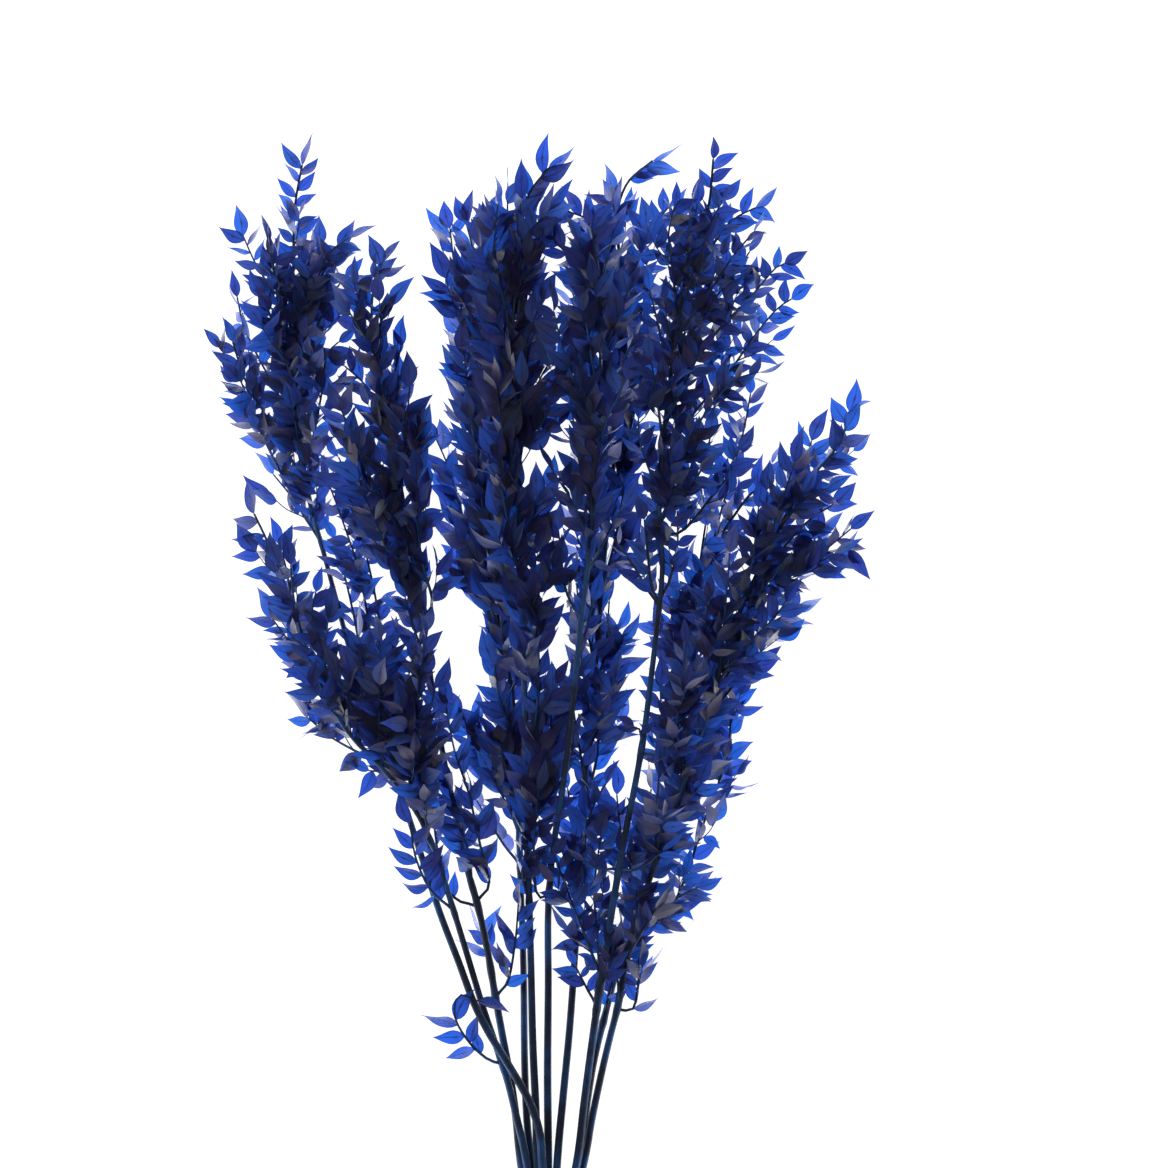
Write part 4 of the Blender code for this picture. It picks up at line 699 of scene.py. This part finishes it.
def leaf_points(template, root, along, normal, length, width, dice):
    """The corners of one leaf, folded a little along its midrib, bent and twisted."""
    u, v, _ = template
    fold = dice.uniform(*FOLDS)
    bend = dice.uniform(*BENDS)
    twist = dice.uniform(-MOST_TWIST, MOST_TWIST) * u ** 1.3
    ripple = dice.uniform(0.0, MOST_RIPPLE)
    ripple = ripple * np.sin(u * dice.uniform(*RIPPLES) + dice.uniform(*ANY_TURN)) * v * v
    sway = dice.uniform(-MOST_SWAY, MOST_SWAY) * np.sin(np.pi * u)
    half = half_width(u) * width / 2
    wide = v * half
    lift = fold * np.abs(v) ** 1.4 * half + ripple * length
    x = u * length * (1 - 0.4 * bend * u)
    y = wide * np.cos(twist) - lift * np.sin(twist) + sway * length
    z = wide * np.sin(twist) + lift * np.cos(twist) - bend * u * u * length
    across = normal.cross(along)
    return np.array(root)[None, :] + np.outer(x, along) + np.outer(y, across) + np.outer(z, normal)


def leaf_frame(along, turn, angle, twist):
    """Direction and face of a leaf at a turn round its twig."""
    outward = out_of(along, turn)
    direction = (along * math.cos(angle) + outward * math.sin(angle)).normalized()
    normal = along.cross(outward).normalized()
    if normal.z < 0:
        normal = -normal
    normal = normal * math.cos(twist) + direction.cross(normal) * math.sin(twist)
    return direction, normal.normalized()


def in_opening(root, direction, length):
    """Whether a leaf reaches one of the openings between the sprays."""
    places = [root + direction * length * share for share in OPEN_TESTS]
    return any(west < place.x < east and south < place.y + TIE_Y < north
               for place in places for west, east, south, north in OPENINGS)


def leaf_sites(line, start, dice, share=MOST):
    """Where the leaves of a twig sit, left and right in turn, with the last one at its tip."""
    reach = lengths_along(line)
    turn = dice.gauss(0.0, PLANE_SPREAD) + (math.pi if dice.random() < 0.5 else 0.0)
    distance = start
    while distance < reach[-1] - 0.002:
        point, along = point_at(line, reach, distance)
        if dice.random() < share:
            yield point, along, turn + dice.gauss(0.0, TURN_SPREAD), False
        turn += math.pi
        distance += LEAF_STEP * dice.uniform(*UNEVEN_LEAF_STEP)
    yield line[-1], (line[-1] - line[-2]).normalized(), turn, True


def fitting_leaf(site, length, width, lean, template, dice):
    """The corners of a leaf that keeps to the box and mostly off the openings, or None."""
    point, along, turn, end = site
    low, high = (np.array(corner) for corner in CAD_BOX)
    for k in range(TRIES):
        angle = dice.uniform(*TIP_LEAN) if end else math.radians(dice.gauss(lean, LEAN_SPREAD))
        twist = dice.gauss(0.0, TWIST_SPREAD)
        direction, normal = leaf_frame(along, turn + k * NEXT_TURN, angle, twist)
        cloud = leaf_points(template, point, direction, normal, length, width, dice)
        reaches = in_opening(point, direction, length)
        if reaches and not end and dice.random() > OPEN_SHARE:
            continue
        past_low = (cloud.min(axis=0) < low - PAST_BOX).any()
        past_high = (cloud.max(axis=0) > high + PAST_BOX).any()
        if past_low or past_high:
            continue
        cloud[:, 2] = np.maximum(cloud[:, 2], TABLE + LEAF_LIFT)
        return cloud
    return None


def grow_leaves(name, sites, size, lean, template, dice):
    """One mesh of all the leaves of a stem, with each leaf's grid in its UV map and its tone."""
    u, v, faces = template
    clouds, tones = [], []
    for site in sites:
        length = size * dice.uniform(*LEAF_LENGTHS)
        width = length * LEAF_WIDTH * dice.uniform(*LEAF_WIDTHS)
        cloud = fitting_leaf(site, length, width, lean, template, dice)
        if cloud is not None:
            clouds.append(cloud)
            tones.append((dice.random(), dice.random(), dice.random(), 1.0))
    mesh = bpy.data.meshes.new(name)
    points = np.concatenate(clouds)
    stacked = np.concatenate([faces + k * len(u) for k in range(len(clouds))])
    mesh.from_pydata(points.tolist(), [], stacked.tolist())
    mesh.polygons.foreach_set("use_smooth", [True] * len(mesh.polygons))
    corners = np.tile(faces.ravel(), len(clouds))
    layer = mesh.uv_layers.new(name="leaf")
    layer.data.foreach_set("uv", np.stack([u[corners], v[corners] * 0.5 + 0.5], axis=1).ravel())
    tone = mesh.color_attributes.new("tone", "FLOAT_COLOR", "POINT")
    tone.data.foreach_set("color", np.repeat(np.array(tones), len(u), axis=0).ravel())
    mesh.update()
    return mesh


class Nodes:
    """Short names for making and joining shader nodes."""

    def __init__(self, name):
        self.material = bpy.data.materials.new(name)
        self.material.use_nodes = True
        self.tree = self.material.node_tree
        self.shader = self.tree.nodes["Principled BSDF"]
        self.output = self.tree.nodes["Material Output"]

    def join(self, source, target):
        self.tree.links.new(source, target)

    def set(self, socket, value):
        """Joins another node's output to a socket, or gives it a plain value."""
        if isinstance(value, bpy.types.NodeSocket):
            self.join(value, socket)
        else:
            socket.default_value = value

    def math(self, operation, a, b=0.0, clamp=False):
        """One step of arithmetic on two sockets or numbers."""
        node = self.tree.nodes.new("ShaderNodeMath")
        node.operation = operation
        node.use_clamp = clamp
        self.set(node.inputs[0], a)
        self.set(node.inputs[1], b)
        return node.outputs[0]

    def times(self, a, b):
        return self.math("MULTIPLY", a, b)

    def plus(self, a, b, clamp=False):
        return self.math("ADD", a, b, clamp)

    def minus(self, a, b):
        return self.math("SUBTRACT", a, b)

    def mix(self, share, a, b):
        node = self.tree.nodes.new("ShaderNodeMix")
        node.data_type = "RGBA"
        self.set(node.inputs[0], share)
        self.set(node.inputs[6], a)
        self.set(node.inputs[7], b)
        return node.outputs[2]

    def ramp(self, value, low, high):
        """Rises smoothly from 0 to 1 while the value goes from low to high."""
        node = self.tree.nodes.new("ShaderNodeMapRange")
        node.interpolation_type = "SMOOTHSTEP"
        self.set(node.inputs[0], value)
        node.inputs[1].default_value = low
        node.inputs[2].default_value = high
        return node.outputs[0]

    def noise(self, scale, detail, stretch=None):
        source = self.tree.nodes.new("ShaderNodeTexCoord").outputs["Object"]
        if stretch is not None:
            mapping = self.tree.nodes.new("ShaderNodeMapping")
            mapping.inputs["Scale"].default_value = stretch
            self.join(source, mapping.inputs["Vector"])
            source = mapping.outputs[0]
        node = self.tree.nodes.new("ShaderNodeTexNoise")
        node.inputs["Scale"].default_value = scale
        node.inputs["Detail"].default_value = detail
        self.join(source, node.inputs["Vector"])
        return node.outputs["Fac"]

    def bump(self, height, strength, distance):
        node = self.tree.nodes.new("ShaderNodeBump")
        node.inputs["Strength"].default_value = strength
        node.inputs["Distance"].default_value = distance
        self.join(height, node.inputs["Height"])
        return node.outputs[0]


def leaf_material():
    """Thin dyed leaves: dull slate where light falls on them, bright blue where it comes through."""
    n = Nodes("dyed_leaf")
    uv = n.tree.nodes.new("ShaderNodeUVMap")
    uv.uv_map = "leaf"
    split = n.tree.nodes.new("ShaderNodeSeparateXYZ")
    n.join(uv.outputs[0], split.inputs[0])
    u, v = split.outputs[0], split.outputs[1]
    tone = n.tree.nodes.new("ShaderNodeAttribute")
    tone.attribute_name = "tone"
    tones = n.tree.nodes.new("ShaderNodeSeparateColor")
    n.join(tone.outputs["Color"], tones.inputs[0])
    first, second, third = tones.outputs[0], tones.outputs[1], tones.outputs[2]

    # veins, midrib and edge by the distance from the leaf's middle line
    off_middle = n.math("ABSOLUTE", n.minus(v, 0.5))
    midrib = n.minus(1.0, n.ramp(off_middle, 0.016, 0.060))
    waves = n.math("SINE", n.times(off_middle, 75.0))
    veins = n.ramp(waves, 0.45, 1.0)
    edge = n.ramp(off_middle, 0.41, 0.50)

    # a dark spot in the middle of some leaves
    across = n.times(off_middle, 3.4)
    along = n.times(n.minus(u, 0.40), 4.2)
    from_spot = n.math("SQRT", n.plus(n.times(across, across), n.times(along, along)))
    spot = n.times(n.minus(1.0, n.ramp(from_spot, 0.12, 0.42)), n.ramp(second, 0.35, 0.55))

    cloudy = n.noise(160.0, 4.0)
    marks = (
        (veins, 0.34),
        (midrib, 0.62),
        (edge, 0.38),
        (spot, 0.55),
        (n.ramp(cloudy, 0.50, 0.75), 0.30),
        (n.ramp(third, 0.30, 0.85), 0.52),
    )
    dark = 0.0
    for mark, weight in marks:
        dark = n.plus(dark, n.times(mark, weight), clamp=True)

    slate = n.mix(n.ramp(first, 0.30, 1.0), *SLATES)
    violet = n.mix(n.ramp(third, 0.70, 0.80), slate, VIOLET)
    faded = n.mix(n.ramp(second, 0.990, 0.994), violet, FADED)
    n.join(n.mix(n.times(dark, 0.55), faded, LEAF_MARKS), n.shader.inputs["Base Color"])
    n.shader.inputs["Roughness"].default_value = 0.46
    n.shader.inputs["Specular IOR Level"].default_value = 0.25
    ridges = n.plus(n.plus(n.times(waves, 0.35), n.times(midrib, 1.2)), cloudy)
    n.join(n.bump(ridges, 0.30, 0.0004), n.shader.inputs["Normal"])

    glow = n.tree.nodes.new("ShaderNodeBsdfTranslucent")
    n.join(n.mix(dark, n.mix(first, *GLOW_BLUES), GLOW_DARK), glow.inputs["Color"])
    both = n.tree.nodes.new("ShaderNodeAddShader")
    n.join(n.shader.outputs[0], both.inputs[0])
    n.join(glow.outputs[0], both.inputs[1])
    n.join(both.outputs[0], n.output.inputs["Surface"])
    return n.material


def wood_material():
    """Dyed stalks: blue-black with steel-blue stretches and fine ridges, with painted shade that
    darkens their undersides.
    """
    n = Nodes("dyed_stalk")
    patches = n.ramp(n.noise(22.0, 4.0), 0.42, 0.62)
    streaks = n.noise(900.0, 2.0, stretch=(1.0, 0.05, 1.0))
    bark = n.mix(patches, n.mix(streaks, *WOOD_DARKS), n.mix(streaks, *WOOD_BLUES))
    geometry = n.tree.nodes.new("ShaderNodeNewGeometry")
    facing = n.tree.nodes.new("ShaderNodeSeparateXYZ")
    n.join(geometry.outputs["Normal"], facing.inputs[0])
    # painted shade: faces that turn down blend to a near-black, faces that turn up keep the bark
    # colour
    upper = n.ramp(facing.outputs[2], 0.00, 0.80)
    n.join(n.mix(upper, WOOD_PAINTED_SHADE, bark), n.shader.inputs["Base Color"])
    n.shader.inputs["Roughness"].default_value = 0.50
    n.shader.inputs["Specular IOR Level"].default_value = 0.06
    n.join(n.bump(streaks, 0.55, 0.0003), n.shader.inputs["Normal"])
    return n.material


def band_material():
    """Plain tan rubber, a little uneven."""
    n = Nodes("band")
    worn = n.noise(220.0, 3.0)
    n.join(n.mix(worn, *BAND_TANS), n.shader.inputs["Base Color"])
    n.shader.inputs["Roughness"].default_value = 0.50
    n.join(n.bump(worn, 0.2, 0.0002), n.shader.inputs["Normal"])
    return n.material


def show(name, mesh, material):
    """A piece of the scene from a mesh and its material."""
    obj = bpy.data.objects.new(name, mesh)
    bpy.context.scene.collection.objects.link(obj)
    mesh.materials.append(material)
    return obj


def rounded_outline(corners, offset, steps=5):
    """The line at an offset round a convex run of corners."""
    line = []
    for i, corner in enumerate(corners):
        before = (corner - corners[i - 1]).normalized()
        after = (corners[(i + 1) % len(corners)] - corner).normalized()
        first = math.atan2(-before.x, before.y)
        turn = math.atan2(before.x * after.y - before.y * after.x, before.dot(after))
        for k in range(steps + 1):
            angle = first + turn * k / steps
            line.append((corner.x + offset * math.cos(angle), corner.y + offset * math.sin(angle)))
    return line


def make_band(material):
    """An elastic band wound round the ten stalks, turn beside turn."""
    outline = rounded_outline([Vector(corner) for corner in BAND_CORNERS], BAND_OFFSET)
    tubes = []
    for y in BAND_TURNS:
        ring = [Vector((x, y + BAND_WAVE * math.sin(BAND_WAVES * (x + y)), z)) for x, z in outline]
        ring.append(ring[0])
        tubes.append((ring, [BAND_RADIUS] * len(ring), BAND_SIDES))
    return show("band_turns", tube_mesh("band_turns", tubes), material)


def make_floor():
    """A pale surface that lights the bunch from below but looks plain white itself."""
    n = Nodes("pale_floor")
    n.shader.inputs["Base Color"].default_value = FLOOR_COLOUR
    n.shader.inputs["Roughness"].default_value = 0.9
    n.shader.inputs["Emission Color"].default_value = WHITE
    path = n.tree.nodes.new("ShaderNodeLightPath")
    dimmed = n.times(path.outputs["Is Camera Ray"], FLOOR_GLOW - 1.0)
    n.join(n.minus(FLOOR_GLOW, dimmed), n.shader.inputs["Emission Strength"])
    mesh = bpy.data.meshes.new("floor")
    bm = bmesh.new()
    bmesh.ops.create_grid(bm, x_segments=1, y_segments=1, size=FLOOR_HALF)
    bm.to_mesh(mesh)
    bm.free()
    floor = show("floor", mesh, n.material)
    floor.location = FLOOR_PLACE


def make_sky():
    """White to look at, and a soft even light."""
    world = bpy.data.worlds.new("soft_sky")
    world.use_nodes = True
    tree = world.node_tree
    sky = tree.nodes["Background"]
    sky.inputs["Color"].default_value = WHITE
    path = tree.nodes.new("ShaderNodeLightPath")
    seen = tree.nodes.new("ShaderNodeMapRange")
    seen.inputs["To Min"].default_value = SKY_GLOW
    seen.inputs["To Max"].default_value = 1.0
    tree.links.new(path.outputs["Is Camera Ray"], seen.inputs["Value"])
    tree.links.new(seen.outputs[0], sky.inputs["Strength"])
    bpy.context.scene.world = world


def make_lamp():
    """A broad lamp from the upper left."""
    data = bpy.data.lights.new("soft_lamp", "AREA")
    data.size = LAMP_SIZE
    data.energy = LAMP_POWER
    lamp = bpy.data.objects.new("soft_lamp", data)
    lamp.location = LAMP_PLACE
    sight = Vector(LAMP_AIM) - lamp.location
    lamp.rotation_euler = sight.to_track_quat("-Z", "Y").to_euler()
    bpy.context.scene.collection.objects.link(lamp)


def make_camera():
    """Straight over the bunch and looking down on it."""
    data = bpy.data.cameras.new("camera")
    data.sensor_width = CAMERA_SENSOR
    data.lens = CAMERA_SENSOR * (CAMERA_PLACE[2] - VIEW_HEIGHT_Z) / VIEW_WIDTH
    data.clip_end = CAMERA_FAR
    camera = bpy.data.objects.new("camera", data)
    camera.location = CAMERA_PLACE
    bpy.context.scene.collection.objects.link(camera)
    bpy.context.scene.camera = camera
    bpy.context.scene.view_settings.view_transform = "Standard"


def grow_stem(number, name, stem, template, leaf_look, wood_look):
    """The wood and the leaves of one stem, as two pieces."""
    dice = random.Random(number)
    stalk = stalk_path(stem)
    plans = stem["twigs"] + FINE_TWIGS.get(name, [])
    twigs = [twig_path(stalk, *plan) for plan in plans]
    leafy = next(d for d, q in zip(lengths_along(stalk), stalk) if q.y > stem["bare"] - TIE_Y)
    few_below, few = FEW_LEAVES.get(name, (0.0, MOST))
    loose_below = LOOSE_BELOW.get(name, 0.0)
    lines = [(stalk, leafy, MOST)]
    shorts = short_twigs(stalk, leafy + SHORT_FIRST_STALK, dice)
    for plan, twig in zip(plans, twigs):
        lines.append((twig, FIRST_LEAF, few if plan[0] < few_below else MOST))
        if plan[0] > loose_below:
            shorts += short_twigs(twig, SHORT_FIRST, dice)

    fine = fine_line(stalk, STALK_STEP)
    radii = stalk_radii(fine, stem["radius"], [twig[0] for twig in twigs])
    tubes = [(fine, radii, STALK_SIDES)]
    for twig in twigs:
        line = fine_line(twig, TWIG_STEP)
        tubes.append((line, taper(line, TWIG_RADIUS, TWIG_TIP_RADIUS), TWIG_SIDES))
    for line in shorts:
        tubes.append((line, taper(line, SHORT_RADIUS, SHORT_TIP_RADIUS), SHORT_SIDES))
    wood = show(name + "_wood", tube_mesh(name + "_wood", tubes), wood_look)

    sites = [site for line, start, share in lines for site in leaf_sites(line, start, dice, share)]
    sites += [site for line in shorts for site in leaf_sites(line, FIRST_SHORT_LEAF, dice)]
    size = stem["leaf"] * LONG_LEAVES.get(name, 1.0)
    lean = UPRIGHT.get(name, LEAF_ANGLE)
    mesh = grow_leaves(name + "_leaves", sites, size, lean, template, dice)
    leaves = show(name + "_leaves", mesh, leaf_look)
    for piece in (wood, leaves):
        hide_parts(name)
        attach(piece, "root")


def main():
    template = leaf_template()
    leaf_look = leaf_material()
    wood_look = wood_material()
    for number, (name, stem) in enumerate(STEMS.items(), 1):
        grow_stem(number, name, stem, template, leaf_look, wood_look)
    band = make_band(band_material())
    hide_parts("tie")
    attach(band, "root")
    make_floor()
    make_sky()
    make_lamp()
    make_camera()


main()
